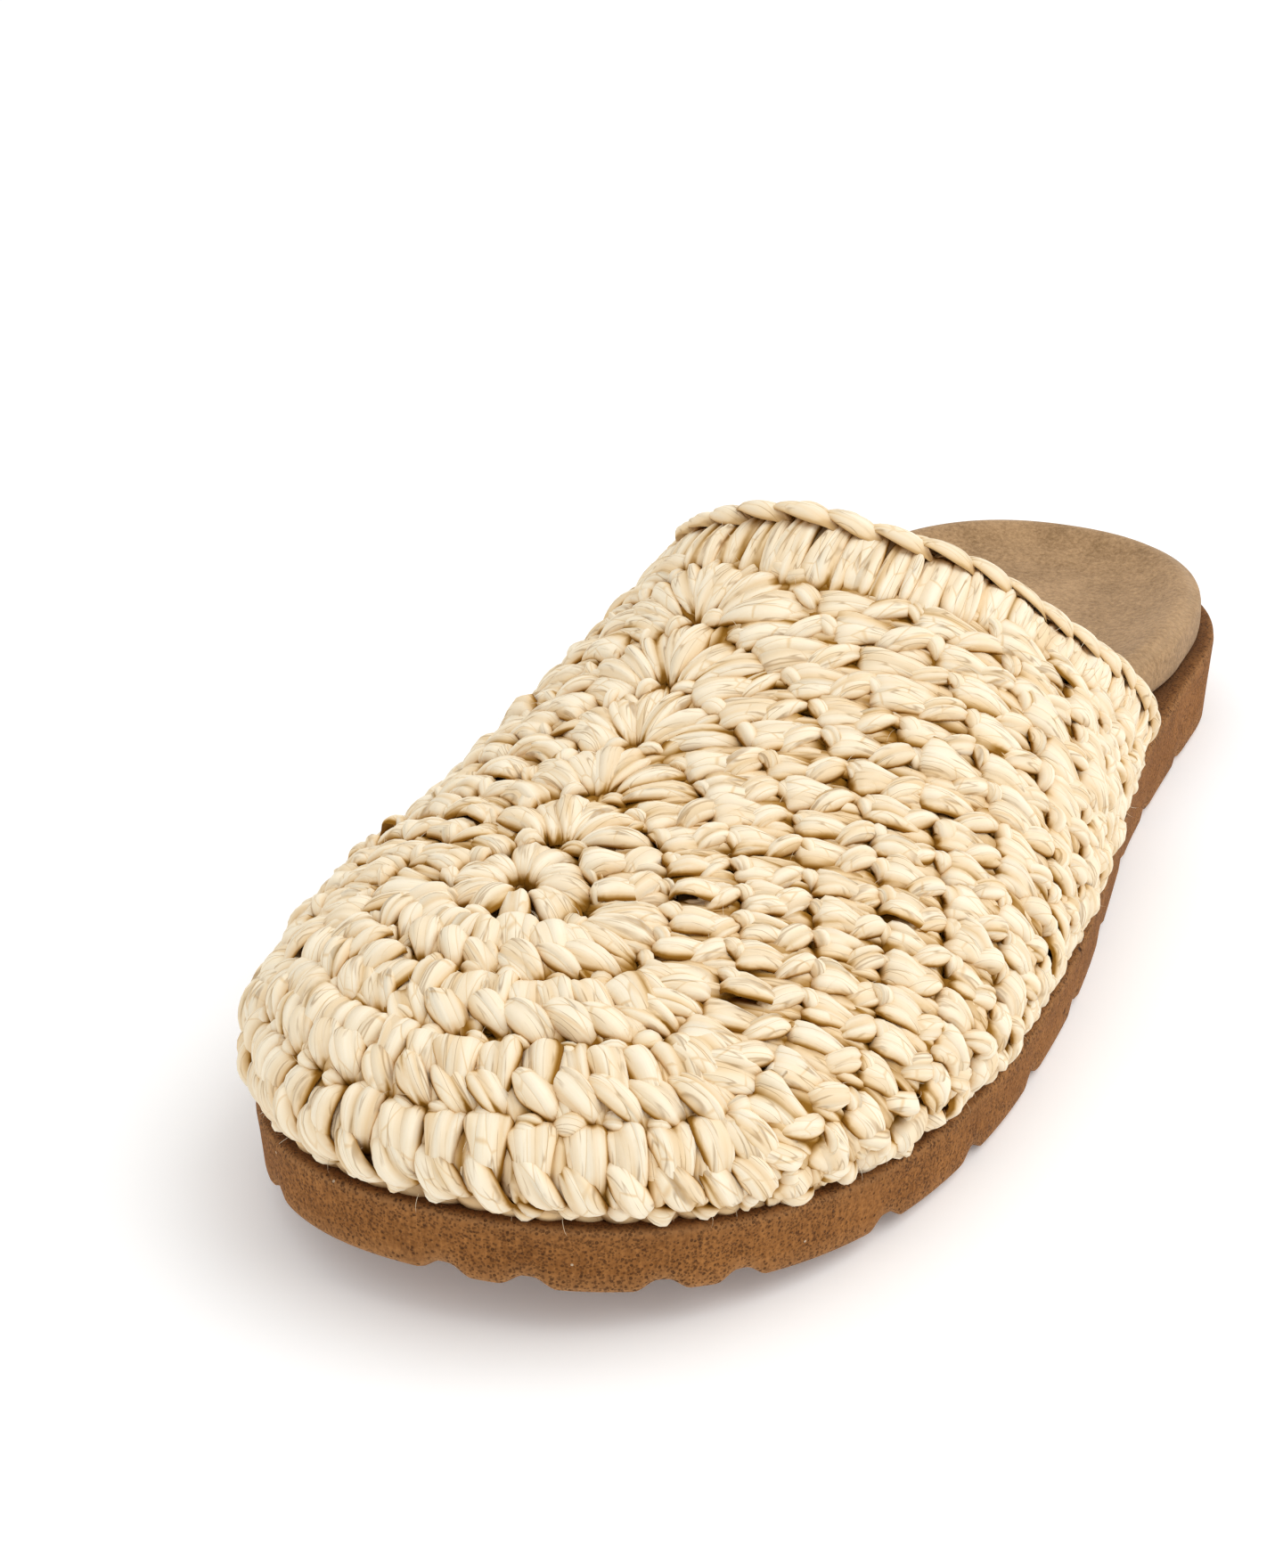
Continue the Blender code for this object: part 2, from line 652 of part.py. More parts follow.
def collar_edging_solid():
    """Crocheted edging along the collar: upright wraps in a band, with a twisted braid along its top."""
    turn = np.linspace(1.0, -1.0, EDGING_STEPS + 1)
    rings = []
    for row in EDGING:
        across = section_point(turn, 1 - row.up)
        ahead = section_point(turn, 1 - row.up - TINY)
        along = np.gradient(across, axis=0)
        normal = np.cross(along, ahead - across)
        normal /= np.linalg.norm(normal, axis=1)[:, None]
        wave = np.cos(math.pi * np.arange(EDGING_STEPS + 1) + row.twist * math.pi / 2)
        rings.append(across + normal * (row.out + row.wave * wave)[:, None])
    rings = np.array(rings).transpose(1, 0, 2)
    foot = sole_top(rings[..., 1]) + SEAT_GAP
    rings[..., 2] = np.maximum(rings[..., 2], foot)
    size = len(EDGING)
    faces = [tuple(range(size)), tuple(range(EDGING_STEPS * size, (EDGING_STEPS + 1) * size))]
    for i in range(EDGING_STEPS):
        for k in range(size):
            n = (k + 1) % size
            faces.append((i * size + k, i * size + n, i * size + size + n, i * size + size + k))
    return rings.reshape(-1, 3), faces


def finish_material(finish):
    """Plain finish of one piece."""
    material = bpy.data.materials.new(finish.node)
    material.use_nodes = True
    shader = material.node_tree.nodes["Principled BSDF"]
    shader.inputs["Base Color"].default_value = (*finish.colour, 1.0)
    shader.inputs["Roughness"].default_value = finish.roughness
    shader.inputs["Metallic"].default_value = 0.0
    return material


def place(finish, points, faces, shift):
    """One named object from a solid's points and faces, in metres, with its faces outwards."""
    mesh = bpy.data.meshes.new(finish.node)
    mesh.from_pydata([tuple(p) for p in (points + shift) * MM], [], faces)
    work = bmesh.new()
    work.from_mesh(mesh)
    bmesh.ops.triangulate(work, faces=work.faces[:])
    bmesh.ops.recalc_face_normals(work, faces=work.faces[:])
    work.to_mesh(mesh)
    work.free()
    mesh.shade_smooth()
    mesh.set_sharp_from_angle(angle=math.radians(SHARP_ANGLE))
    mesh.materials.append(finish_material(finish))
    shoe_piece = bpy.data.objects.new(finish.node, mesh)
    bpy.context.scene.collection.objects.link(shoe_piece)
    print(finish.node, len(mesh.polygons), "triangles")


def main():
    """Build every piece, centre the shoe over its footprint and place the pieces."""
    for old in list(bpy.data.objects):
        bpy.data.objects.remove(old)
    solids = {
        "sole": sole_solid(),
        "insole": insole_solid(),
        "upper": upper_solid(),
        "collar_edging": collar_edging_solid(),
    }
    everything = np.concatenate([points for points, faces in solids.values()])
    middle = (everything.min(axis=0) + everything.max(axis=0)) / 2
    shift = np.array([-middle[0], -middle[1], -everything[:, 2].min()])
    for finish in FINISHES:
        place(finish, *solids[finish.node], shift)


main()
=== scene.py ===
# %% [markdown]
# # A crocheted raffia clog
# This lesson dresses a packed shoe: a foam sole, a suede footbed, a crocheted upper and the edging of
# its collar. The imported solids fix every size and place. Each visible piece is worked out again from
# the same last, only finer, so the first step loads the solids and keeps the box that they fill.

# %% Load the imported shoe
import math
from collections import namedtuple

import bpy
import numpy as np
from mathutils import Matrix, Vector


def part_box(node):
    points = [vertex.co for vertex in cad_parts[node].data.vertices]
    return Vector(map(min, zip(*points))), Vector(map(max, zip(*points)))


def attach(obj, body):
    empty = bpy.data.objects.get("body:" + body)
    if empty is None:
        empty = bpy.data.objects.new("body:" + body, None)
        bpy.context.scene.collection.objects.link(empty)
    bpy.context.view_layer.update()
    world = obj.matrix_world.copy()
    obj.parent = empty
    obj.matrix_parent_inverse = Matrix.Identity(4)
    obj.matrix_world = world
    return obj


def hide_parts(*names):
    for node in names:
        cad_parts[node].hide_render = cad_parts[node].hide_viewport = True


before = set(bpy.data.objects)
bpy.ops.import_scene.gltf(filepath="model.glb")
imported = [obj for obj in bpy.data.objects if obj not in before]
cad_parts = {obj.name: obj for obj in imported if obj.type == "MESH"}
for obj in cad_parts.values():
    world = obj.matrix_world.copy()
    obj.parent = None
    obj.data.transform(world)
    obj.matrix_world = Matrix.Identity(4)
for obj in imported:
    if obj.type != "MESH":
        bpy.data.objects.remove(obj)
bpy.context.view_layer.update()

# %% [markdown]
# ## The last
# A shoemaker works over a last, a foot-shaped form. Here the last is a few short tables: the sole's
# outline, the heights along the shoe and the footbed's rims. A smooth curve through a table's column
# gives a value anywhere between its rows, so the whole shoe stays editable by a handful of sizes in
# millimetres.

# %% Sizes and tables of the last
MM = 0.001
LENGTH = 252.0
TOE_TIP_X = -4.6
HEEL_TIP_X = 1.4
TOE_DEPTH = {"medial": 66.0, "lateral": 82.0}
TOE_POWER = {"medial": 2.22, "lateral": 2.34}
HEEL_DEPTH = 40.0
HEEL_POWER = 2.2
TOE_SPRING = 7.5
SPRING_END = 78.0
SEAT_GAP = 0.3
FEATHER_INSET = 4.4
OUTLINE_POINTS = 900
WALL = 2.4
MEDIAL_BULGE = 3.8
LATERAL_BULGE = 6.4
BULGE_HEIGHT = 0.75
RING_X = -8.0
RING_Y = 40.0
RIDGE_END_X = 1.5
COLLAR_PEAK = 116.0
COLLAR_END = 178.0
COLLAR_CURVE = 1.2
LAST_SECTION = 188.0
BAND_AT_INSTEP = 10.0
BAND_AT_SIDE = 12.5


def table(columns, *rows):
    """A short table: the names of its columns, then its rows."""
    row = namedtuple("Row", columns)
    return tuple(row(*values) for values in rows)


OUTLINE = table(
    "from_toe medial lateral",
    (0.0, -47.3, 47.5),
    (60.0, -47.3, 47.5),
    (84.0, -45.8, 47.8),
    (110.0, -40.8, 46.6),
    (140.0, -34.8, 42.6),
    (170.0, -31.8, 38.0),
    (200.0, -32.4, 36.2),
    (226.0, -33.4, 35.6),
    (252.0, -33.4, 35.6),
)

PROFILE = table(
    "from_toe sole_thickness ridge_height fullness",
    (0.0, 10.0, 40.4, 2.35),
    (40.0, 10.0, 41.0, 2.35),
    (60.0, 10.2, 42.8, 2.3),
    (78.0, 10.4, 46.4, 2.15),
    (90.0, 10.6, 51.6, 2.0),
    (100.0, 10.8, 57.8, 1.9),
    (112.0, 11.2, 66.2, 1.78),
    (120.0, 11.5, 69.6, 1.8),
    (135.0, 12.2, 69.6, 1.8),
    (155.0, 13.1, 71.5, 1.8),
    (175.0, 14.0, 71.5, 1.8),
    (215.0, 15.0, 71.5, 1.8),
    (252.0, 15.0, 71.5, 1.8),
)


def flow(at, rows, name):
    """Smooth curve through a table's column, read at a place along its first column."""
    stations = np.array([row[0] for row in rows])
    values = np.array([getattr(row, name) for row in rows])
    slopes = np.gradient(values, stations)
    left = np.clip(np.searchsorted(stations, at, side="right") - 1, 0, len(stations) - 2)
    width = stations[left + 1] - stations[left]
    t = np.clip((at - stations[left]) / width, 0.0, 1.0)
    keep = (1 + 2 * t) * (1 - t) ** 2
    turn_in = t * (1 - t) ** 2 * width * slopes[left]
    turn_out = t ** 2 * (t - 1) * width * slopes[left + 1]
    return keep * values[left] + (1 - keep) * values[left + 1] + turn_in + turn_out


# %% The sole's outline and its upper face
def round_end(share, power):
    """Rounded end of an outline: 0 at the tip, 1 where the side runs straight on."""
    return (1 - (1 - np.clip(share, 0.0, 1.0)) ** power) ** (1 / power)


def sole_side(y, side):
    """Where the sole's outline lies on one side, at a distance from the toe tip."""
    toe = round_end(y / TOE_DEPTH[side], TOE_POWER[side])
    x = TOE_TIP_X + (flow(y, OUTLINE, side) - TOE_TIP_X) * toe
    return HEEL_TIP_X + (x - HEEL_TIP_X) * round_end((LENGTH - y) / HEEL_DEPTH, HEEL_POWER)


def toe_spring(y):
    """How far the toe lifts off the floor."""
    return TOE_SPRING * np.clip(1 - y / SPRING_END, 0.0, 1.0) ** 2


def sole_top(y):
    """Height of the sole's upper face."""
    return toe_spring(y) + flow(y, PROFILE, "sole_thickness")


def inset_side(side, inset):
    """One side of the sole's outline from toe to heel, moved inwards by an even distance."""
    y = LENGTH * (1 - np.cos(np.linspace(0.0, math.pi, OUTLINE_POINTS))) / 2
    x = sole_side(y, side)
    along = np.stack([np.gradient(x), np.gradient(y)], axis=1)
    along /= np.linalg.norm(along, axis=1)[:, None]
    sign = {"medial": 1.0, "lateral": -1.0}[side]
    inward = sign * np.stack([along[:, 1], -along[:, 0]], axis=1)
    inward[0] = (0.0, 1.0)
    inward[-1] = (0.0, -1.0)
    return np.stack([x, y], axis=1) + inset * inward


FEATHER = {side: inset_side(side, FEATHER_INSET) for side in ("lateral", "medial")}
sole_low, sole_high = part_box("sole")
widest = sole_side(np.linspace(0.0, LENGTH, 2000), "lateral").max()
SHIFT = np.array([sole_high.x / MM - widest, sole_low.y / MM, 0.0])
print("last to shoe, mm:", SHIFT.round(2))

# %% [markdown]
# ## The upper's surface
# The real crochet is pulled over the last while damp. Its surface is worked out in two parts: rounded
# sections across the foot behind the crochet's starting ring, and a dome around the ring before it.
# Every stitch below is laid on this one surface, so nothing floats and nothing has to be fitted by
# eye.


# %% Points on the upper's surface
def feather_reach(azimuth):
    """Plan distance from the ring to the line where the upper meets the sole, in each direction."""
    loop = np.concatenate([FEATHER["medial"][::-1], FEATHER["lateral"][1:]]) - (RING_X, RING_Y)
    angle = np.unwrap(np.arctan2(loop[:, 1], loop[:, 0]))
    turned = angle[0] + np.mod(azimuth - angle[0], 2 * math.pi)
    return np.interp(turned, angle, np.hypot(loop[:, 0], loop[:, 1]))


def ridge_x(y):
    """Sideways place of the upper's ridge, from the ring to the collar."""
    return RING_X + (RIDGE_END_X - RING_X) * np.clip((y - RING_Y) / (COLLAR_PEAK - RING_Y), 0.0, 1.0)


def half_widths(y):
    """Distances from the ridge to the feather line on the outer and the inner side."""
    outer = np.interp(y, FEATHER["lateral"][:, 1], FEATHER["lateral"][:, 0]) - ridge_x(y)
    inner = ridge_x(y) - np.interp(y, FEATHER["medial"][:, 1], FEATHER["medial"][:, 0])
    return outer, inner


def section_share(outward, y):
    """Height on a section, from 0 to 1, at a share of the way out from its ridge."""
    fullness = flow(y, PROFILE, "fullness")
    return (1 - outward ** fullness) ** (1 / fullness)


def over_last(x, y):
    """The upper's face over a plan point, and how far up its section the point lies."""
    azimuth = np.arctan2(y - RING_Y, x - RING_X)
    behind = y >= RING_Y
    half_out, half_in = half_widths(y)
    across = np.where(x > ridge_x(y), (x - ridge_x(y)) / half_out, (ridge_x(y) - x) / half_in)
    radial = np.hypot(x - RING_X, y - RING_Y) / feather_reach(azimuth)
    outward = np.clip(np.where(behind, across, radial), 0.0, 1.0)
    share = section_share(outward, y)
    foot = sole_top(y) + SEAT_GAP
    z = foot + (flow(y, PROFILE, "ridge_height") - foot) * share
    lean = np.where(behind, x > ridge_x(y), (1 + np.cos(azimuth)) / 2)
    swell = MEDIAL_BULGE + (LATERAL_BULGE - MEDIAL_BULGE) * lean
    swell = swell * np.sin(math.pi * share ** BULGE_HEIGHT)
    swell_x = np.where(behind, np.sign(x - ridge_x(y)), np.cos(azimuth))
    swell_y = np.where(behind, 0.0, np.sin(azimuth))
    return np.stack([x + swell * swell_x, y + swell * swell_y, z], axis=-1), share


def collar_y(share, band):
    """How far back the collar lies at each height: band 0 is its edge, band 1 the edging's foot."""
    edge = COLLAR_PEAK + (COLLAR_END - COLLAR_PEAK) * (1 - share) ** COLLAR_CURVE
    return edge - band * (BAND_AT_INSTEP + (BAND_AT_SIDE - BAND_AT_INSTEP) * (1 - share))


# %% [markdown]
# Stitches follow rounds that grow outwards from the ring, so the surface is charted once by direction
# and by distance walked over it. A lookup in that chart then gives a point and the way out of the
# shoe for any stitch.

# %% Chart of the upper by direction and walked distance
CHART_TURN = math.radians(0.5)
CHART_STEP = 0.5
CHART_REACH = 190.0
RAY_POINTS = 400
RAY_START = 8
RAY_TAIL = 12


def walked(points):
    """Length walked along lines of points, from 0 at the start of each."""
    steps = np.linalg.norm(np.diff(points, axis=-2), axis=-1)
    return np.concatenate([np.zeros_like(steps[..., :1]), np.cumsum(steps, axis=-1)], axis=-1)


def chart_upper():
    """Points, section heights and ways out of the shoe, over a grid of directions and distances."""
    azimuth = np.arange(-math.pi, math.pi + CHART_TURN / 2, CHART_TURN)
    reach = feather_reach(azimuth)
    back = (LAST_SECTION - RING_Y) / np.maximum(np.sin(azimuth), 1e-6)
    reach = np.where((np.sin(azimuth) > 0) & (back < reach), back, reach)
    radius = reach[:, None] * np.sin(np.linspace(0.0, math.pi / 2, RAY_POINTS))[None, :]
    x = RING_X + radius * np.cos(azimuth)[:, None]
    y = RING_Y + radius * np.sin(azimuth)[:, None]
    points, share = over_last(x, y)
    length = walked(points)
    distance = np.arange(0.0, CHART_REACH, CHART_STEP)
    chart = np.zeros((len(azimuth), len(distance), 3))
    heights = np.zeros((len(azimuth), len(distance)))
    for i in range(len(azimuth)):
        for k in range(3):
            chart[i, :, k] = np.interp(distance, length[i], points[i, :, k])
        heights[i] = np.interp(distance, length[i], share[i])
        last = points[i, -1] - points[i, -RAY_TAIL]
        beyond = np.clip(distance - length[i, -1], 0.0, None)
        chart[i] += beyond[:, None] * last / np.linalg.norm(last)
    outward = np.cross(np.gradient(chart, axis=0), np.gradient(chart, axis=1))
    outward[:, :RAY_START] = outward[:, RAY_START:RAY_START + 1]
    outward /= np.linalg.norm(outward, axis=2)[:, :, None] + 1e-12
    upwards = np.sign(outward[:, RAY_START, 2]).sum()
    return chart, heights, outward * np.sign(upwards), length[:, -1]


CHART, CHART_SHARE, CHART_OUT, CHART_END = chart_upper()
print("walked to the sole, mm:", CHART_END.min().round(1), "to", CHART_END.max().round(1))


def read_chart(grid, azimuth, distance):
    """Value of a chart between its grid points."""
    a = np.mod(azimuth + math.pi, 2 * math.pi) / CHART_TURN
    d = np.clip(distance / CHART_STEP, 0.0, grid.shape[1] - 1.001)
    i = np.clip(np.floor(a).astype(int), 0, grid.shape[0] - 2)
    k = np.floor(d).astype(int)
    wa = (a - i).reshape(a.shape + (1,) * (grid.ndim - 2))
    wd = (d - k).reshape(d.shape + (1,) * (grid.ndim - 2))
    low = grid[i, k] * (1 - wd) + grid[i, k + 1] * wd
    high = grid[i + 1, k] * (1 - wd) + grid[i + 1, k + 1] * wd
    return low * (1 - wa) + high * wa


def reach_at(azimuth):
    """Walked distance from the ring to the sole in each direction."""
    a = np.mod(azimuth + math.pi, 2 * math.pi) / CHART_TURN
    return np.interp(a, np.arange(len(CHART_END)), CHART_END)


# %% [markdown]
# ## Finishes as expressions
# A finish is a small sum: a pattern times a strength, one colour mixed into another. Wrapping a
# node's socket in a class with operators lets that sum be written as one, and each operator adds its
# own Math node.


# %% A socket that can be added and multiplied
class Wire:
    """A node's output that takes part in sums, each one adding a Math node to the same tree."""

    def __init__(self, socket):
        self.socket = socket
        self.tree = socket.id_data

    def math(self, operation, other, swapped=False):
        """One Math node on this value and another."""
        pair = (other, self) if swapped else (self, other)
        return node(self.tree, "ShaderNodeMath", {"operation": operation}, {0: pair[0], 1: pair[1]})

    def __add__(self, other):
        return self.math("ADD", other)

    def __sub__(self, other):
        return self.math("SUBTRACT", other)

    def __rsub__(self, other):
        return self.math("SUBTRACT", other, swapped=True)

    def __mul__(self, other):
        return self.math("MULTIPLY", other)

    def __gt__(self, other):
        return self.math("GREATER_THAN", other)

    def __abs__(self):
        return self.math("ABSOLUTE", 0.0)

    __radd__ = __add__
    __rmul__ = __mul__


def node(tree, kind, settings=None, sockets=None, out=0):
    """One output of a new node: its settings are made first, then its sockets are set or linked."""
    made = tree.nodes.new(kind)
    for name, value in (settings or {}).items():
        setattr(made, name, value)
    for name, value in (sockets or {}).items():
        if isinstance(value, Wire):
            tree.links.new(value.socket, made.inputs[name])
        else:
            made.inputs[name].default_value = value
    return Wire(made.outputs[out])


# %% Patterns, masks and colours for a finish
def stretched(tree, place, scale):
    """Coordinates stretched by a factor for each axis."""
    return node(tree, "ShaderNodeMapping", None, {"Vector": place, "Scale": scale})


def object_place(tree):
    """Places on the object itself, in millimetres."""
    return stretched(tree, node(tree, "ShaderNodeTexCoord", out="Object"), (1 / MM, 1 / MM, 1 / MM))


def noise(tree, place, scale, detail, roughness=0.5):
    """A cloudy pattern between 0 and 1."""
    sockets = {"Vector": place, "Scale": scale, "Detail": detail, "Roughness": roughness}
    return node(tree, "ShaderNodeTexNoise", None, sockets, out="Fac")


def cells(tree, place, scale, feature="F1", out="Distance"):
    """A pattern of cells, as the distance to a middle or a border, or as a colour for each cell."""
    sockets = {"Vector": place, "Scale": scale}
    return node(tree, "ShaderNodeTexVoronoi", {"feature": feature}, sockets, out=out)


def ramp(tree, value, start, end, first=0.0, last=1.0, kind="LINEAR"):
    """A value made into a mask: first up to the start, last from the end on."""
    sockets = {"Value": value, "From Min": start, "From Max": end, "To Min": first, "To Max": last}
    return node(tree, "ShaderNodeMapRange", {"interpolation_type": kind}, sockets)


def carried(tree, name):
    """A number that the points of a mesh carry."""
    return node(tree, "ShaderNodeAttribute", {"attribute_name": name}, out="Fac")


def tint(tree, mask, under, over):
    """One colour over another where a mask is 1; the mask is held between 0 and 1."""
    colours = [value if isinstance(value, Wire) else (*value, 1.0) for value in (under, over)]
    settings = {"data_type": "RGBA"}
    return node(tree, "ShaderNodeMix", settings, {0: mask, 6: colours[0], 7: colours[1]}, out=2)


def new_finish(name):
    """An empty finish: its node tree and its Principled shader."""
    material = bpy.data.materials.new(name)
    material.use_nodes = True
    return material, material.node_tree, material.node_tree.nodes["Principled BSDF"]


def set_finish(tree, shader, colour, roughness, bump, depth):
    """Links a colour, a roughness and a bump height to a shader."""
    tree.links.new(colour.socket, shader.inputs["Base Color"])
    tree.links.new(roughness.socket, shader.inputs["Roughness"])
    bumped = node(tree, "ShaderNodeBump", None, {"Height": bump, "Distance": depth, "Strength": 1.0})
    tree.links.new(bumped.socket, shader.inputs["Normal"])


# %% [markdown]
# ## Raffia
# Raffia is a dry palm-leaf ribbon: nearly white where light falls on it, with fine fibres running along
# it and a few sharp creases. Its tan recesses and crumple creases and the thin brown lines of its
# pleats are painted shade; the shade of the recesses is a number that each point of a strand carries.
# Each strand carries its own map, across and along in millimetres, and a number of its own, so fibres
# run with the strand and no two strands match.


# %% Raffia finish
def raffia(name, pale, deep, hollow_shade, crease):
    """Finish of a raffia ribbon: crumpled facets, long fibres, and painted shade: thin brown lines
    along its pleats, tan in its recesses and along its crumple creases.
    """
    material, tree, shader = new_finish(name)
    flat = node(tree, "ShaderNodeUVMap", {"uv_map": "strand_map"})
    number = carried(tree, "strand_number")
    aside = node(tree, "ShaderNodeCombineXYZ", None, {"X": number * 91.0, "Y": number * 37.0})
    spot = node(tree, "ShaderNodeVectorMath", {"operation": "ADD"}, {0: flat, 1: aside})
    cavity = carried(tree, "cavity")
    tone = noise(tree, spot, 0.22, 2.0)
    fibres = noise(tree, stretched(tree, spot, (5.0, 0.25, 1.0)), 1.0, 4.0, 0.6)
    pleat = noise(tree, stretched(tree, spot, (0.75, 0.06, 1.0)), 1.0, 1.0)
    crumple = stretched(tree, spot, (0.48, 0.14, 1.0))
    facets = cells(tree, crumple, 1.0)
    border = cells(tree, crumple, 1.0, feature="DISTANCE_TO_EDGE")
    streak = ramp(tree, fibres * 0.55 + tone * 0.45, 0.4, 0.72)
    # Painted shade: thin brown lines along the pleats, and a tan band along the crumple creases.
    line = ramp(tree, abs(pleat - 0.5), 0.0, 0.03, 1.0, 0.0, "SMOOTHSTEP")
    line = line * ramp(tree, tone, 0.4, 0.55)
    crumple_shade = ramp(tree, border, 0.0, 0.045, 0.4, 0.0, "SMOOTHSTEP")
    colour = tint(tree, streak * 0.38, pale, deep)
    # Painted shade: tan in the recesses that each point carries and along crumple creases; deep brown
    # in the pleat lines and the lowest recesses.
    colour = tint(tree, (cavity * 1.35).math("MAXIMUM", crumple_shade), colour, hollow_shade)
    colour = tint(tree, (line * 0.5).math("MAXIMUM", cavity * 2.7 - 0.95), colour, crease)
    set_finish(tree, shader, colour, 0.62 + 0.25 * fibres, fibres * 0.03 - facets * facets * 0.8, 0.001)
    shader.inputs["Specular IOR Level"].default_value = 0.12
    return material


# The last two colours are painted shade: tan for recesses and crumple creases, deep brown for pleat
# lines.
RAFFIA = raffia(
    "raffia", (0.94, 0.84, 0.66), (0.89, 0.69, 0.38), (0.66, 0.36, 0.06), (0.27, 0.118, 0.010))
print("finish:", RAFFIA.name)

# %% [markdown]
# ## Stitches
# The maker starts at a ring on the toe and works outwards in rounds. Three corners, one up the instep
# and one on each side of the toe, take several stitches in one place, which makes the fans; between
# them the stitches stand in straight columns. A round lies a fixed number of post lengths from the
# ring, so it can be charted by direction.

# %% Rounds and sectors of the crochet
SIDE_POSTS = table(
    "azimuth length",
    (-30.0, 11.6),
    (0.0, 10.2),
    (30.0, 9.5),
    (60.0, 10.4),
    (90.0, 12.4),
)
FRONT_ROUNDS = 5
FRONT_HEM = 4.4
TOE_CORNER = -30.0
CORNER_BLEND = 14.0
RING_HOLE = 2.3
RING_PETALS = 10
PETAL_WIDTH = 5.6
LAST_ROUND = 15
ROUND_POINTS = 240
SECTORS = table(
    "name bisector stitch_width thick even",
    ("lateral", 30.0, 5.8, 1.0, False),
    ("toe", -90.0, 5.6, 1.12, True),
    ("medial", 150.0, 5.8, 1.0, False),
)
HALF_SECTOR = math.radians(60.0)


def soft_step(at):
    """A smooth step from 0 to 1."""
    at = np.clip(at, 0.0, 1.0)
    return at * at * (3 - 2 * at)


def post_length(azimuth):
    """Height of one round in each direction: even rounds at the toe, longer at the three corners."""
    turned = np.degrees(np.arctan2(np.sin(azimuth), np.cos(azimuth)))
    mirrored = np.where(np.abs(turned) > 90.0, np.sign(turned) * 180.0 - turned, turned)
    side = flow(mirrored, SIDE_POSTS, "length")
    front = soft_step((TOE_CORNER + CORNER_BLEND - mirrored) / (2 * CORNER_BLEND))
    return side + ((reach_at(azimuth) - FRONT_HEM) / FRONT_ROUNDS - side) * front


def half_round(sector, sign, number):
    """One round over half a sector: directions and the length walked from the sector's middle."""
    azimuth = math.radians(sector.bisector) + sign * np.linspace(0.0, HALF_SECTOR, ROUND_POINTS)
    return azimuth, walked(read_chart(CHART, azimuth, number * post_length(azimuth)))


# %% Stitches of the rounds
POST, FAN, RING, TOE = range(4)
FAN_ROOM = 0.3
FAN_GATHER = 0.22
TOE_FACING = -0.2
SOLE_MARGIN = 1.0
COLLAR_MARGIN = 1.5
Stitch = namedtuple("Stitch", "sector ends width kind")


def ring_stitches():
    """The petals of the starting ring."""
    found = []
    for petal in range(RING_PETALS):
        azimuth = 2 * math.pi * petal / RING_PETALS - math.pi
        ends = (azimuth, RING_HOLE, azimuth, post_length(np.array(azimuth)))
        found.append(Stitch("toe", ends, PETAL_WIDTH, RING))
    return found


def shared_out(sector, inner, outer):
    """Stitches between two rounds over half a sector: where each starts and ends, width and kind."""
    wide = sector.stitch_width
    if sector.even:
        count = max(1, round(outer / wide))
        shares = (np.arange(count) + 0.5) / count
        return [(share * inner, share * outer, outer / count, TOE) for share in shares]
    straight = max(0, math.floor(inner / wide - FAN_ROOM))
    found = [((j + 0.5) * wide, (j + 0.5) * wide, wide, POST) for j in range(straight)]
    left = outer - straight * wide
    fans = max(1, round(left / wide))
    spread = left / fans
    for j in range(fans):
        base = inner - FAN_GATHER * wide * (fans - 1 - j) * (straight > 0)
        found.append((base, straight * wide + (j + 0.5) * spread, spread, FAN))
    return found


def round_stitches(sector, sign, number):
    """Stitches of one round over half a sector; their ends are directions and walked distances."""
    inner_turn, inner = half_round(sector, sign, number - 1)
    outer_turn, outer = half_round(sector, sign, number)
    found = []
    for base, top, width, kind in shared_out(sector, inner[-1], outer[-1]):
        base_turn = np.interp(base, inner, sign * inner_turn) * sign
        top_turn = np.interp(top, outer, sign * outer_turn) * sign
        if kind == FAN and number > 2 and math.sin(top_turn) < TOE_FACING:
            kind = TOE
        base_walk = (number - 1) * post_length(np.array(base_turn))
        top_walk = number * post_length(np.array(top_turn))
        found.append(Stitch(sector.name, (base_turn, base_walk, top_turn, top_walk), width, kind))
    return found


def kept_stitches(stitches):
    """The stitches that lie on the upper: inside the sole's line and before the collar's edging."""
    ends = np.array([row.ends for row in stitches], float)
    azimuth = (ends[:, 0] + ends[:, 2]) / 2
    walk = (ends[:, 1] + ends[:, 3]) / 2
    back = read_chart(CHART, azimuth, walk)[:, 1]
    edging = collar_y(read_chart(CHART_SHARE, azimuth, walk), 1.0)
    inside = (walk < reach_at(azimuth) - SOLE_MARGIN) & (back < edging + COLLAR_MARGIN)
    return [row for row, keep in zip(stitches, inside) if keep]


charted = ring_stitches()
for sector in SECTORS:
    for sign in (-1.0, 1.0):
        for number in range(2, LAST_ROUND):
            charted += round_stitches(sector, sign, number)
STITCHES = kept_stitches(charted)
print("stitches:", len(STITCHES), "fans:", sum(row.kind == FAN for row in STITCHES))

# %% [markdown]
# ## Strands
# One stitch is a few ribbons: a wide flared cup, a leaf that crosses over it, a neck that ties it to
# the next stitch and thinner ends beside them. Each ribbon is a short table in the stitch's own
# measures: along the post, across it, height over the upper, half its width and how far it is
# crowned. Arrays then lay every ribbon of one kind at once, each with its own small differences and
# its own lengthwise folds.

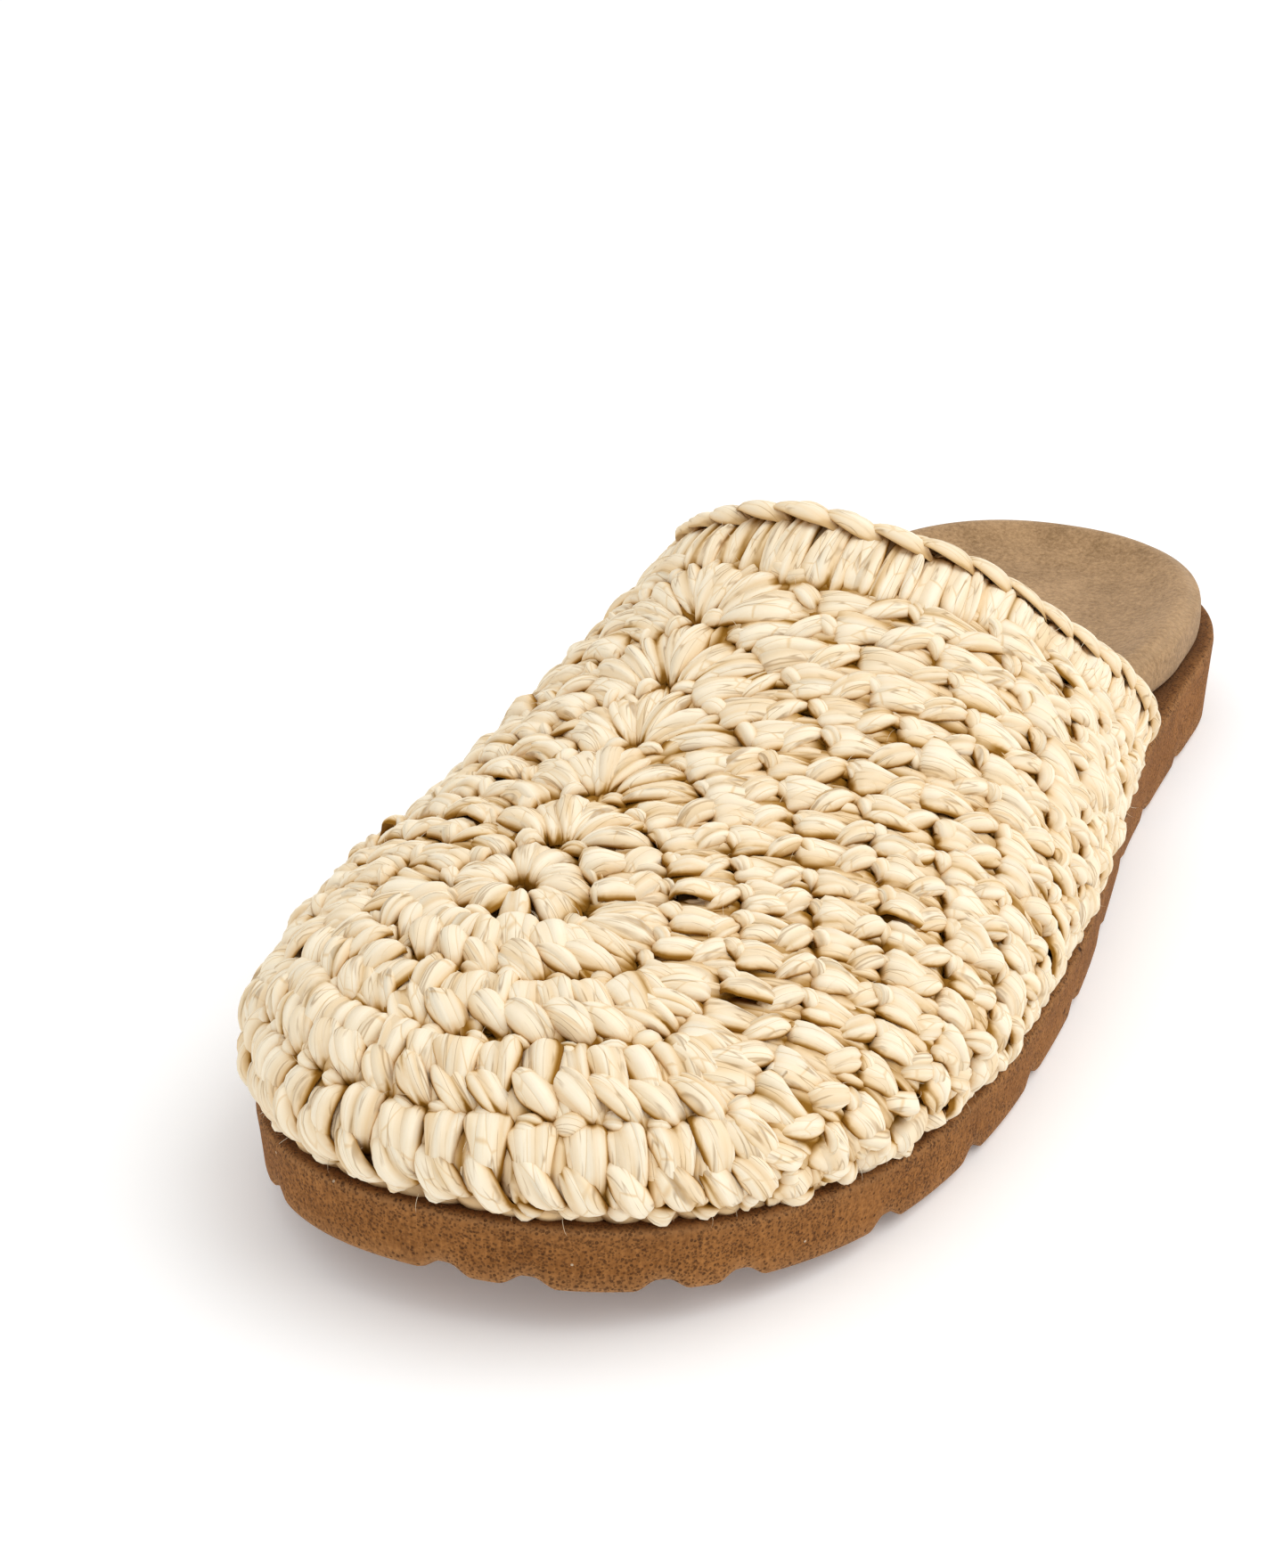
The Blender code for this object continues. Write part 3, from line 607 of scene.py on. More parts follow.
# %% Tables of the strands
RIBBON = "along post across height half_width crown"
CUP = table(
    RIBBON,
    (0.0, -0.10, 0.00, -0.8, 2.2, 0.2),
    (0.12, -0.03, 0.00, 1.3, 3.1, 0.5),
    (0.28, 0.14, 0.02, 2.0, 3.0, 0.7),
    (0.52, 0.38, 0.04, 1.6, 2.4, 0.9),
    (0.76, 0.62, 0.00, 1.0, 2.1, 0.8),
    (1.0, 0.94, -0.10, -0.4, 1.6, 0.4),
)
LEAF = table(
    RIBBON,
    (0.0, 1.02, 0.80, -0.2, 0.6, 0.2),
    (0.22, 0.86, 0.52, 1.3, 1.4, 0.5),
    (0.48, 0.68, 0.00, 2.0, 1.8, 0.7),
    (0.72, 0.50, -0.52, 1.6, 1.6, 0.6),
    (0.88, 0.40, -0.84, 0.5, 1.1, 0.4),
    (1.0, 0.34, -1.05, -0.6, 0.5, 0.2),
)
NECK = table(
    RIBBON,
    (0.0, 0.84, 0.95, -0.5, 0.9, 0.2),
    (0.3, 0.91, 0.60, 1.2, 1.3, 0.6),
    (0.6, 0.99, 0.18, 1.8, 1.4, 0.7),
    (0.85, 1.04, -0.18, 1.1, 1.1, 0.5),
    (1.0, 1.07, -0.45, -0.4, 0.7, 0.2),
)
LOWER_END = table(
    RIBBON,
    (0.0, 0.30, -0.80, -0.3, 1.0, 0.3),
    (0.3, 0.52, -0.72, 0.7, 1.5, 0.6),
    (0.65, 0.78, -0.58, 0.9, 1.5, 0.6),
    (1.0, 1.06, -0.48, -0.3, 1.0, 0.3),
)
UPPER_END = table(
    RIBBON,
    (0.0, 0.34, 0.74, -0.3, 0.9, 0.3),
    (0.35, 0.58, 0.68, 0.6, 1.3, 0.5),
    (0.7, 0.84, 0.46, 0.7, 1.3, 0.5),
    (1.0, 1.04, 0.26, -0.3, 0.9, 0.3),
)
FILL = table(
    RIBBON,
    (0.0, -0.12, 0.95, -0.6, 1.1, 0.2),
    (0.2, 0.10, 1.02, 0.4, 1.5, 0.5),
    (0.5, 0.48, 0.98, 0.7, 1.6, 0.6),
    (0.8, 0.84, 1.02, 0.4, 1.5, 0.5),
    (1.0, 1.08, 1.00, -0.6, 1.1, 0.2),
)
LOW_FILL = tuple(row._replace(across=-row.across) for row in FILL)
TOE_CUP = table(
    RIBBON,
    (0.0, -0.12, 0.00, -0.9, 2.2, 0.2),
    (0.1, 0.00, 0.00, 0.9, 2.9, 0.7),
    (0.3, 0.16, 0.02, 1.9, 2.9, 1.0),
    (0.6, 0.44, 0.04, 1.6, 2.4, 1.0),
    (1.0, 0.86, -0.05, -0.3, 2.0, 0.5),
)
TOE_LEAF = table(
    RIBBON,
    (0.0, 1.02, 0.95, -0.5, 0.9, 0.2),
    (0.2, 0.88, 0.66, 1.2, 1.7, 0.6),
    (0.5, 0.66, 0.06, 2.3, 2.3, 0.9),
    (0.8, 0.42, -0.56, 1.6, 1.8, 0.7),
    (1.0, 0.24, -1.00, -0.5, 0.8, 0.2),
)
TOE_KNOT = table(
    RIBBON,
    (0.0, 0.92, -0.95, -0.5, 0.9, 0.2),
    (0.3, 0.95, -0.55, 0.9, 1.4, 0.6),
    (0.7, 1.00, 0.00, 1.1, 1.5, 0.7),
    (1.0, 1.06, 0.50, -0.5, 0.9, 0.2),
)
PETAL = table(
    RIBBON,
    (0.0, 0.00, 0.00, 0.1, 0.7, 0.3),
    (0.2, 0.14, 0.00, 1.2, 1.2, 0.6),
    (0.5, 0.42, 0.02, 1.9, 2.1, 0.9),
    (0.75, 0.70, 0.00, 1.7, 2.4, 0.9),
    (0.92, 0.92, -0.04, 0.6, 1.9, 0.6),
    (1.0, 1.02, -0.05, -0.6, 1.3, 0.3),
)
RING_WRAP = table(
    RIBBON,
    (0.0, -0.04, 0.00, -1.6, 1.0, 0.3),
    (0.18, 0.00, 0.00, 0.4, 1.3, 0.6),
    (0.5, 0.34, 0.05, 1.7, 2.1, 0.9),
    (0.78, 0.72, 0.05, 1.2, 2.6, 0.8),
    (1.0, 1.04, 0.00, -0.5, 1.8, 0.4),
)

# %% [markdown]
# A strand is laid over the post of its stitch. The post's line over the surface gives a point, the
# way out and the way across at every place along it; the strand's table moves it from there. Its
# section is a low crown with a long crease, a slanting one and three narrow folds, and a plain
# underside closes it.

# %% Posts of the stitches
POST_PLACES = np.linspace(-0.3, 1.3, 25)
SOLE_TUCK = 1.2
COLLAR_TUCK = 3.0
TUCK_LEAD = 0.5
TUCK_DEPTH = 3.0
RING_MIDDLE = 0.4


def unit(vectors):
    """Vectors of length one."""
    return vectors / (np.linalg.norm(vectors, axis=-1, keepdims=True) + 1e-12)


def posts_of(stitches):
    """Points, outward ways, sideways ways and tucks along the post of each stitch."""
    ends = np.array([row.ends for row in stitches], float)[:, :, None]
    azimuth = ends[:, 0] + (ends[:, 2] - ends[:, 0]) * POST_PLACES
    walk = ends[:, 1] + (ends[:, 3] - ends[:, 1]) * POST_PLACES
    reach = reach_at(azimuth)
    walk = reach - SOLE_TUCK * np.logaddexp(0.0, (reach - walk) / SOLE_TUCK)
    walk = np.maximum(walk, RING_MIDDLE)
    points = read_chart(CHART, azimuth, walk)
    out = unit(read_chart(CHART_OUT, azimuth, walk))
    past = points[..., 1] - collar_y(read_chart(CHART_SHARE, azimuth, walk), 1.0)
    tuck = TUCK_DEPTH * np.clip((past + TUCK_LEAD) / COLLAR_TUCK, 0.0, 1.0)
    ahead = unit(np.gradient(points, axis=1) + 1e-9)
    return points, out, unit(np.cross(out, ahead)), tuck


def between(values, place):
    """Values along each post, read at places between their samples."""
    at = (place - POST_PLACES[0]) / (POST_PLACES[1] - POST_PLACES[0])
    i = np.clip(np.floor(at).astype(int), 0, len(POST_PLACES) - 2)
    w = at - i
    rows = np.arange(len(place))[:, None]
    if values.ndim == 3:
        w = w[..., None]
    return values[rows, i] * (1 - w) + values[rows, i + 1] * w


# %% Lay one kind of strand over many stitches
USUAL_WIDTH = 5.8
WIDTH_POWER = 0.7
EDGE_TURN = 0.5
CROWN_POWER = 4.5
FOLDS = 3
FOLD_REACH = 0.3
# Painted shade in the strands: it starts below this height over the upper and grows over this depth;
# edges and narrow folds add to it.
SHADE_LEVEL = 1.9
SHADE_FADE = 2.0
EDGE_SHADE = 0.5
FOLD_SHADE = 0.9
SPREAD = {"place": 0.035, "across": 0.07, "slant": 0.09, "height": 0.12, "tilt": 0.14}


def strand_lines(posts, widths, ribbon, lengthwise, rng, loose):
    """Middle lines of strands of one kind, their ways aside and up, heights, half widths and crown."""
    points, out, sideways, tuck = posts
    each = (len(points), 1)
    at = np.linspace(0.0, 1.0, lengthwise)
    column = {name: flow(at, ribbon, name)[None, :] for name in RIBBON.split()[1:]}
    place = column["post"] + loose * rng.normal(0.0, SPREAD["place"], each)
    place = np.clip(place, POST_PLACES[0], POST_PLACES[-1])
    across = column["across"] + loose * rng.normal(0.0, SPREAD["across"], each)
    across = across + loose * rng.normal(0.0, SPREAD["slant"], each) * (at - 0.5)
    height = column["height"] * rng.uniform(0.8, 1.2, each)
    height = height + loose * rng.normal(0.0, SPREAD["height"], each) - between(tuck, place)
    swing = 1 + 0.1 * np.sin(rng.uniform(0, 6.28, each) + rng.uniform(3, 7, each) * at)
    half = column["half_width"] * rng.uniform(0.84, 1.14, each) * swing
    half = half * (widths[:, None] / USUAL_WIDTH) ** WIDTH_POWER
    way_out = unit(between(out, place))
    way_side = unit(between(sideways, place))
    centre = between(points, place) + way_out * height[..., None]
    centre = centre + way_side * (across * widths[:, None] / 2)[..., None]
    ahead = unit(np.gradient(centre, axis=1))
    tilt = loose * rng.normal(0.0, SPREAD["tilt"], (*each, 1))
    side = unit(unit(np.cross(way_out, ahead)) + tilt * way_out)
    return centre, side, unit(np.cross(ahead, side)), height, half, column["crown"]


def strand_rise(crown, half, height, c, rng):
    """How far a strand's face stands over its middle line, and its narrow folds alone."""
    each = (len(half), 1, 1)
    along = np.linspace(0.0, 1.0, half.shape[1])[None, :, None] - 0.5
    rise = 0.8 * crown * (1 - np.abs(c) ** CROWN_POWER)
    crease = rng.uniform(-0.5, 0.5, each) + rng.normal(0.0, 0.4, each) * along
    rise = rise + crown * rng.uniform(-0.7, 0.5, each) * (np.abs(c - crease) - 0.5)
    turn = rng.uniform(-1.2, 1.2, each)
    slant = 2 * np.cos(turn) * along + np.sin(turn) * c - rng.uniform(-0.5, 0.5, each)
    rise = rise + rng.uniform(0.2, 0.8, each) * crown * (0.4 - np.abs(slant))
    folds = np.zeros(rise.shape)
    for _ in range(FOLDS):
        line = rng.uniform(-0.8, 0.8, each) + rng.normal(0.0, 0.35, each) * along
        depth = rng.uniform(0.05, 0.42, each)
        folds -= depth * np.clip(1 - np.abs(c - line) / FOLD_REACH, 0.0, 1.0)
    rise = rise + folds * np.clip(half / 2.0, 0.3, 1.2)[..., None] * (1 - c ** 4)
    return rise - EDGE_TURN * np.clip(height, 0.0, 2.2)[..., None] * np.abs(c) ** 8, folds


def lay_strands(posts, widths, ribbon, lengthwise, crosswise, rng, loose=1.0):
    """Strands of one kind: a grid of points each, its map in millimetres, its number and painted shade.
    """
    lines = strand_lines(posts, widths, ribbon, lengthwise, rng, loose)
    centre, side, lift, height, half, crown = lines
    c = np.sin(np.linspace(-math.pi / 2, math.pi / 2, crosswise))[None, None, :]
    rise, folds = strand_rise(crown[..., None], half, height, c, rng)
    aside = c * half[..., None]
    grid = centre[:, :, None, :] + side[:, :, None, :] * aside[..., None]
    grid = grid + lift[:, :, None, :] * rise[..., None]
    flat = np.stack(np.broadcast_arrays(aside, walked(centre)[..., None]), axis=-1)
    # Painted shade: points low over the upper, the turned-down edges and the narrow folds get a shade
    # value that the finish paints tan and brown.
    level = height[..., None] + rise
    cavity = np.clip((SHADE_LEVEL - level) / SHADE_FADE, 0.0, 1.0) ** 1.2
    cavity = cavity + EDGE_SHADE * np.abs(c) ** 10 - FOLD_SHADE * folds
    return grid, flat, rng.uniform(0.0, 1.0, len(half)), np.clip(cavity, 0.0, 1.0)


# %% [markdown]
# Thousands of ribbons become one mesh for each part of the upper. Joining them from arrays is quick
# and leaves a plain mesh: each ribbon is closed by its underside and its two ends.


# %% Join strands into one mesh
def strand_faces(lengthwise, crosswise):
    """Corner lists of one closed ribbon: crowned face, plain underside and two ends."""
    faces = []
    for m in range(lengthwise - 1):
        row = m * crosswise
        after = row + crosswise
        for k in range(crosswise - 1):
            faces.append([row + k, after + k, after + k + 1, row + k + 1])
        faces.append([row, row + crosswise - 1, after + crosswise - 1, after])
    last = (lengthwise - 1) * crosswise
    faces.append(list(range(crosswise)))
    faces.append(list(range(last + crosswise - 1, last - 1, -1)))
    return faces


def placed(name, mesh, material):
    """A smooth object in the scene, from a mesh and its finish."""
    mesh.shade_smooth()
    mesh.materials.append(material)
    piece = bpy.data.objects.new(name, mesh)
    bpy.context.scene.collection.objects.link(piece)
    return piece


def carry(mesh, name, values):
    """A number for each point of a mesh, which a finish can read."""
    mesh.attributes.new(name, "FLOAT", "POINT").data.foreach_set("value", np.float32(values))


def joined_strands(name, batches, material):
    """One object from batches of strands, with their map and numbers."""
    gathered = []
    offset = 0
    loops = 0
    for grid, flat, number, cavity in batches:
        count, lengthwise, crosswise = grid.shape[:3]
        size = lengthwise * crosswise
        faces = strand_faces(lengthwise, crosswise)
        pattern = np.concatenate(faces)
        first = np.cumsum([0] + [len(face) for face in faces[:-1]])
        copy = np.arange(count)[:, None]
        corners = (pattern + offset + size * copy).ravel()
        starts = (first + loops + len(pattern) * copy).ravel()
        numbers = np.repeat(number, size)
        values = (grid.reshape(-1, 3), flat.reshape(-1, 2), numbers, cavity.ravel())
        gathered.append((*values, corners, starts))
        offset += count * size
        loops += count * len(pattern)
    points, flats, numbers, cavity_shades, corners, starts = [np.concatenate(part) for part in zip(*gathered)]
    mesh = bpy.data.meshes.new(name)
    mesh.vertices.add(len(points))
    mesh.vertices.foreach_set("co", ((points + SHIFT) * MM).astype(np.float32).ravel())
    mesh.loops.add(len(corners))
    mesh.loops.foreach_set("vertex_index", corners.astype(np.int32))
    mesh.polygons.add(len(starts))
    mesh.polygons.foreach_set("loop_start", starts.astype(np.int32))
    mesh.update(calc_edges=True)
    mesh.validate()
    layer = mesh.uv_layers.new(name="strand_map")
    layer.data.foreach_set("uv", flats[corners].astype(np.float32).ravel())
    carry(mesh, "strand_number", numbers)
    # Painted shade for each point, which the raffia finish reads.
    carry(mesh, "cavity", cavity_shades)
    print(name, "triangles:", len(corners) - 2 * len(starts))
    return placed(name, mesh, material)


def dress(piece, solid):
    """A finished piece rides on the shoe and hides the solid that it stands for."""
    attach(piece, "root")
    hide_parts(solid)


# %% Crochet the three parts of the upper
MAKE = "ribbon lengthwise crosswise"
POST_STRANDS = table(
    MAKE,
    (CUP, 13, 11),
    (LEAF, 12, 10),
    (NECK, 9, 8),
    (LOWER_END, 8, 7),
    (UPPER_END, 8, 7),
    (FILL, 8, 6),
    (LOW_FILL, 8, 6),
)
FAN_STRANDS = table(
    MAKE,
    (PETAL, 12, 11),
    (NECK, 9, 8),
    (LOWER_END, 8, 7),
    (FILL, 8, 6),
    (LOW_FILL, 8, 6),
)
RING_STRANDS = table(
    MAKE,
    (RING_WRAP, 12, 12),
    (NECK, 9, 8),
)
TOE_STRANDS = table(
    MAKE,
    (TOE_CUP, 13, 12),
    (TOE_LEAF, 13, 12),
    (TOE_KNOT, 9, 9),
    (LOWER_END, 8, 7),
    (FILL, 8, 7),
)
STRANDS_OF = {POST: POST_STRANDS, FAN: FAN_STRANDS, RING: RING_STRANDS, TOE: TOE_STRANDS}

for seed, sector in enumerate(SECTORS):
    rng = np.random.default_rng(20 + seed)
    batches = []
    for kind, makes in STRANDS_OF.items():
        chosen = [row for row in STITCHES if row.sector == sector.name and row.kind == kind]
        if not chosen:
            continue
        posts = posts_of(chosen)
        widths = np.array([row.width for row in chosen]) * sector.thick
        batches += [lay_strands(posts, widths, *make, rng, loose=1.3) for make in makes]
    dress(joined_strands("crochet_" + sector.name, batches, RAFFIA), "upper")

# %% [markdown]
# ## The wrong side and the ground of the crochet
# From the collar one looks on to the wrong side of the same stitches, so a plainer set of strands is
# laid on the inside. Between the two sides runs a thin ground sheet in deep browns: painted shade that
# shows through the small gaps, as the shade inside the tight crochet does.


# %% Strands on the inside
def turned_inside(posts, depth):
    """The same posts seen from inside the shoe, through the wall."""
    points, out, sideways, tuck = posts
    return points - out * depth, -out, -sideways, tuck * 0.0


INSIDE_DEPTH = 1.5
INSIDE_STRANDS = table(
    MAKE,
    (CUP, 9, 6),
    (NECK, 7, 5),
)
rng = np.random.default_rng(31)
posts = turned_inside(posts_of(STITCHES), INSIDE_DEPTH)
widths = np.array([row.width for row in STITCHES])
inside = [lay_strands(posts, widths, *make, rng, loose=0.7) for make in INSIDE_STRANDS]


# %% Ground sheet between the two sides
WELD = 0.02
SHEET_TURNS = 33
SHEET_LINES = 46
SHEET_RAYS = 60
SHEET_END = 0.5
SHEET_HOLE = 0.1
GROUND_DEPTHS = (0.6, 1.8)


def wall_from_sheet(points, faces, outer_depth, inner_depth):
    """Closed wall between two depths below a sheet, from its own point normals."""
    normals = np.zeros_like(points)
    for face in faces:
        corners = points[list(face)]
        normals[list(face)] += np.cross(corners, np.roll(corners, -1, axis=0)).sum(axis=0)
    normals = unit(normals)
    if np.sum(normals * (points - points.mean(axis=0))) < 0:
        normals = -normals
        faces = [tuple(reversed(face)) for face in faces]
    count = len(points)
    uses = {}
    for face in faces:
        for a, b in zip(face, face[1:] + face[:1]):
            uses.setdefault((min(a, b), max(a, b)), []).append((a, b))
    wall = list(faces) + [tuple(count + k for k in reversed(face)) for face in faces]
    open_edges = [edges[0] for edges in uses.values() if len(edges) == 1]
    wall += [(b, a, count + a, count + b) for a, b in open_edges]
    return np.concatenate([points - normals * outer_depth, points - normals * inner_depth]), wall


def welded(grids):
    """One sheet from several grids of points, with equal points joined and empty faces left out."""
    numbers = {}
    points = []
    faces = []
    for grid in grids:
        index = np.zeros(grid.shape[:2], int)
        for i in range(grid.shape[0]):
            for k in range(grid.shape[1]):
                key = tuple(np.round(grid[i, k] / WELD).astype(int))
                if key not in numbers:
                    numbers[key] = len(points)
                    points.append(grid[i, k])
                index[i, k] = numbers[key]
        for i in range(grid.shape[0] - 1):
            for k in range(grid.shape[1] - 1):
                ring = [index[i, k], index[i + 1, k], index[i + 1, k + 1], index[i, k + 1]]
                face = tuple(dict.fromkeys(ring))
                if len(face) > 2:
                    faces.append(face)
    return np.array(points), faces


def ground_sheet():
    """The upper's surface as one sheet: lines back to the collar and rays over the toe."""
    turns = np.sin(np.linspace(0.0, math.pi / 2, SHEET_TURNS))
    across = np.concatenate([-turns[:0:-1], turns])
    end = collar_y(section_share(np.abs(across), COLLAR_PEAK), SHEET_END)
    y = RING_Y + (end - RING_Y)[:, None] * np.linspace(0.0, 1.0, SHEET_LINES)[None, :]
    half_out, half_in = half_widths(y)
    x = ridge_x(y) + across[:, None] * np.where(across[:, None] > 0, half_out, half_in)
    back_part = over_last(x, y)[0]
    azimuth = np.linspace(-math.pi, 0.0, SHEET_RAYS)
    radius = feather_reach(azimuth)[:, None] * turns[None, :]
    front_x = RING_X + radius * np.cos(azimuth)[:, None]
    front_y = np.minimum(RING_Y + radius * np.sin(azimuth)[:, None], RING_Y)
    front_part = over_last(front_x, front_y - 1e-9)[0]
    points, faces = welded([back_part, front_part[::-1]])
    aside = np.hypot(points[:, 0] - RING_X, points[:, 1] - RING_Y)
    return points, [face for face in faces if aside[list(face)].min() > SHEET_HOLE]


def plain_piece(name, points, faces, material):
    """One smooth object from points and faces in the last's millimetres."""
    mesh = bpy.data.meshes.new(name)
    mesh.from_pydata(((points + SHIFT) * MM).tolist(), [], faces)
    mesh.validate()
    print(name, "faces:", len(faces))
    return placed(name, mesh, material)


# Painted shade: the ground sheet wears a deep brown copy of the raffia, standing for the shade between
# the strands.
GROUND_SHADE = raffia(
    "raffia_ground", (0.62, 0.36, 0.13), (0.50, 0.26, 0.08), (0.36, 0.17, 0.05), (0.20, 0.08, 0.02))
# Painted shade: a darker, warmer copy of the raffia for the collar's core and the drawn-in row, which
# lie in shade.
SHADED_RAFFIA = raffia(
    "raffia_deep", (0.90, 0.66, 0.37), (0.80, 0.51, 0.23), (0.54, 0.26, 0.07), (0.30, 0.12, 0.02))
ground_points, ground_faces = ground_sheet()
ground_wall = wall_from_sheet(ground_points, ground_faces, *GROUND_DEPTHS)
# The ground sheet is coloured as painted shade.
ground = plain_piece("crochet_ground", *ground_wall, GROUND_SHADE)
dress(ground, "upper")
dress(joined_strands("crochet_inside", inside, RAFFIA), "upper")

# %% [markdown]
# ## The collar
# The opening is finished with long wraps that stand side by side, and a braid over their tops. The
# wraps are the same kind of ribbon as before, laid over posts that climb from the crochet to the
# collar's edge, outside and inside, over a thin core.


# %% Points along the collar
COLLAR_POINTS = 2000
COLLAR_FOOT = 0.975
SMALL_TURN = 0.004
SMALL_BAND = 0.02
WRAP_BAND = 0.3


def near_collar(turn, band):
    """A point by the collar: turn runs from 1 at the outer foot over the ridge to -1, band as above."""
    outward = np.abs(np.sin(turn * math.pi / 2))
    y = collar_y(section_share(outward, COLLAR_PEAK), band)
    half_out, half_in = half_widths(y)
    x = ridge_x(y) + outward * np.where(turn > 0, half_out, -half_in)
    return over_last(x, y)[0]


def collar_frames(turn, band):
    """Points by the collar, the way out of the shoe there and the way up to the edge."""
    points = near_collar(turn, band)
    along = near_collar(turn - SMALL_TURN, band) - near_collar(turn + SMALL_TURN, band)
    ahead = unit(near_collar(turn, band - SMALL_BAND) - points)
    return points, unit(np.cross(ahead, along)), ahead


def even_turns(count, end):
    """Places along the collar's edge at even distances."""
    dense = np.linspace(end, -end, COLLAR_POINTS)
    length = walked(near_collar(dense, WRAP_BAND))
    return np.interp((np.arange(count) + 0.5) / count * length[-1], length, dense), length[-1]


# %% Wraps along the collar
WRAPS = 40
WRAP_OVERLAP = (1.05, 1.55)
WRAP_DEPTH = 1.3
THIN_WIDTH = 5.0
WRAP = table(
    RIBBON,
    (0.0, -0.16, 0.00, -1.0, 2.0, 0.1),
    (0.12, -0.06, 0.00, 0.8, 2.5, 0.3),
    (0.4, 0.26, 0.06, 1.7, 2.6, 0.4),
    (0.72, 0.66, 0.04, 1.5, 2.3, 0.35),
    (1.0, 0.98, -0.04, 0.4, 1.9, 0.2),
)
THIN_WRAP = table(
    RIBBON,
    (0.0, -0.18, -0.30, -0.5, 0.7, 0.2),
    (0.15, -0.05, -0.25, 1.0, 1.0, 0.4),
    (0.5, 0.40, 0.00, 2.1, 1.2, 0.5),
    (1.0, 1.00, 0.30, 0.4, 0.9, 0.3),
)


def wrap_posts(count):
    """Posts from the foot of the edging to the collar's edge, side by side."""
    turns, length = even_turns(count, COLLAR_FOOT)
    points, out, ahead = collar_frames(turns[:, None], 1 - POST_PLACES[None, :])
    return (points, out, unit(np.cross(out, ahead)), np.zeros(points.shape[:2])), length


rng = np.random.default_rng(41)
posts, collar_length = wrap_posts(WRAPS)
widths = np.full(WRAPS, collar_length / WRAPS) * rng.uniform(*WRAP_OVERLAP, WRAPS)
wraps = [lay_strands(posts, widths, WRAP, 12, 12, rng, loose=1.2)]
wraps.append(lay_strands(turned_inside(posts, WRAP_DEPTH), widths, WRAP, 9, 7, rng, loose=0.8))
posts, collar_length = wrap_posts(WRAPS // 2)
wraps.append(lay_strands(posts, np.full(WRAPS // 2, THIN_WIDTH), THIN_WRAP, 9, 7, rng, loose=1.6))
print("collar length, mm:", collar_length.round(), "wraps:", WRAPS)
dress(joined_strands("collar_wraps", wraps, RAFFIA), "collar_edging")

# %% Core of the collar
CORE = table(
    "up out",
    (-0.1, 0.0),
    (0.5, 0.3),
    (0.96, 0.3),
    (1.02, -0.6),
    (0.96, -1.5),
    (0.5, -1.6),
    (-0.1, -1.6),
)
CORE_STEPS = 160
CORE_FOOT = 0.99


def between_loops(count, size):
    """Faces between equal loops that follow one another."""
    faces = []
    for low in range(0, (count - 1) * size, size):
        for i in range(size):
            after = (i + 1) % size
            faces.append((low + i, low + after, low + size + after, low + size + i))
    return faces


core_turns = np.linspace(CORE_FOOT, -CORE_FOOT, CORE_STEPS)
core_rings = []
for row in CORE:
    points, out, ahead = collar_frames(core_turns, np.full(CORE_STEPS, 1 - row.up))
    core_rings.append(points + out * row.out)
core = np.array(core_rings).transpose(1, 0, 2)
size = len(CORE)
core_faces = [tuple(range(size)), tuple(range((CORE_STEPS - 1) * size, CORE_STEPS * size))[::-1]]
core_faces += [(a, d, c, b) for a, b, c, d in between_loops(CORE_STEPS, size)]
# The core takes the darker raffia copy, as painted shade between the wraps.
core_piece = plain_piece("collar_core", core.reshape(-1, 3), core_faces, SHADED_RAFFIA)
dress(core_piece, "collar_edging")

# %% [markdown]
# ## The braid
# A braid is one link many times over, which is what Geometry Nodes do well: a line is cut into even
# steps, a link is set on each step and turned along the line, and the copies are made real. The line
# carries the way out of the shoe, so each link lies on the collar. The thicker strand runs outside, a
# thinner one along the inner edge.


# %% Trees of nodes with named inputs
def new_tree(name, inputs):
    """A Geometry Nodes tree with named inputs, given as wires."""
    tree = bpy.data.node_groups.new(name, "GeometryNodeTree")
    tree.interface.new_socket("Geometry", in_out="INPUT", socket_type="NodeSocketGeometry")
    for label, kind in inputs:
        tree.interface.new_socket(label, in_out="INPUT", socket_type="NodeSocket" + kind)
    tree.interface.new_socket("Geometry", in_out="OUTPUT", socket_type="NodeSocketGeometry")
    entry = tree.nodes.new("NodeGroupInput")
    return tree, {socket.name: Wire(socket) for socket in entry.outputs if socket.name}


def dice(tree, limits, seed):
    """A random vector for each copy, between two limits."""
    sockets = {0: limits[0], 1: limits[1], "Seed": seed}
    return node(tree, "FunctionNodeRandomValue", {"data_type": "FLOAT_VECTOR"}, sockets)


def set_copies(tree, given, points, rotation, sizes, sways):
    """The end of a tree: a model on each point, with its own size, sway and number, as one mesh."""
    seed = given["Seed"]
    model = node(tree, "GeometryNodeObjectInfo", None, {"Object": given["Model"]}, out="Geometry")
    copies = node(tree, "GeometryNodeInstanceOnPoints", None, {
        "Points": points, "Instance": model, "Rotation": rotation, "Scale": dice(tree, sizes, seed)})
    sway = node(tree, "FunctionNodeEulerToRotation", None, {"Euler": dice(tree, sways, seed)})
    swayed = node(tree, "GeometryNodeRotateInstances", None, {"Instances": copies, "Rotation": sway})
    number = node(tree, "FunctionNodeRandomValue", {"data_type": "FLOAT"}, {"Seed": seed}, out=1)
    kept = {"domain": "INSTANCE", "data_type": "FLOAT"}
    numbered = node(tree, "GeometryNodeStoreNamedAttribute", kept, {
        "Geometry": swayed, "Name": "strand_number", "Value": number})
    real = node(tree, "GeometryNodeRealizeInstances", None, {"Geometry": numbered})
    sockets = {"Geometry": real, "Material": given["Finish"]}
    done = node(tree, "GeometryNodeSetMaterial", None, sockets)
    leave = tree.nodes.new("NodeGroupOutput")
    tree.links.new(done.socket, leave.inputs[0])


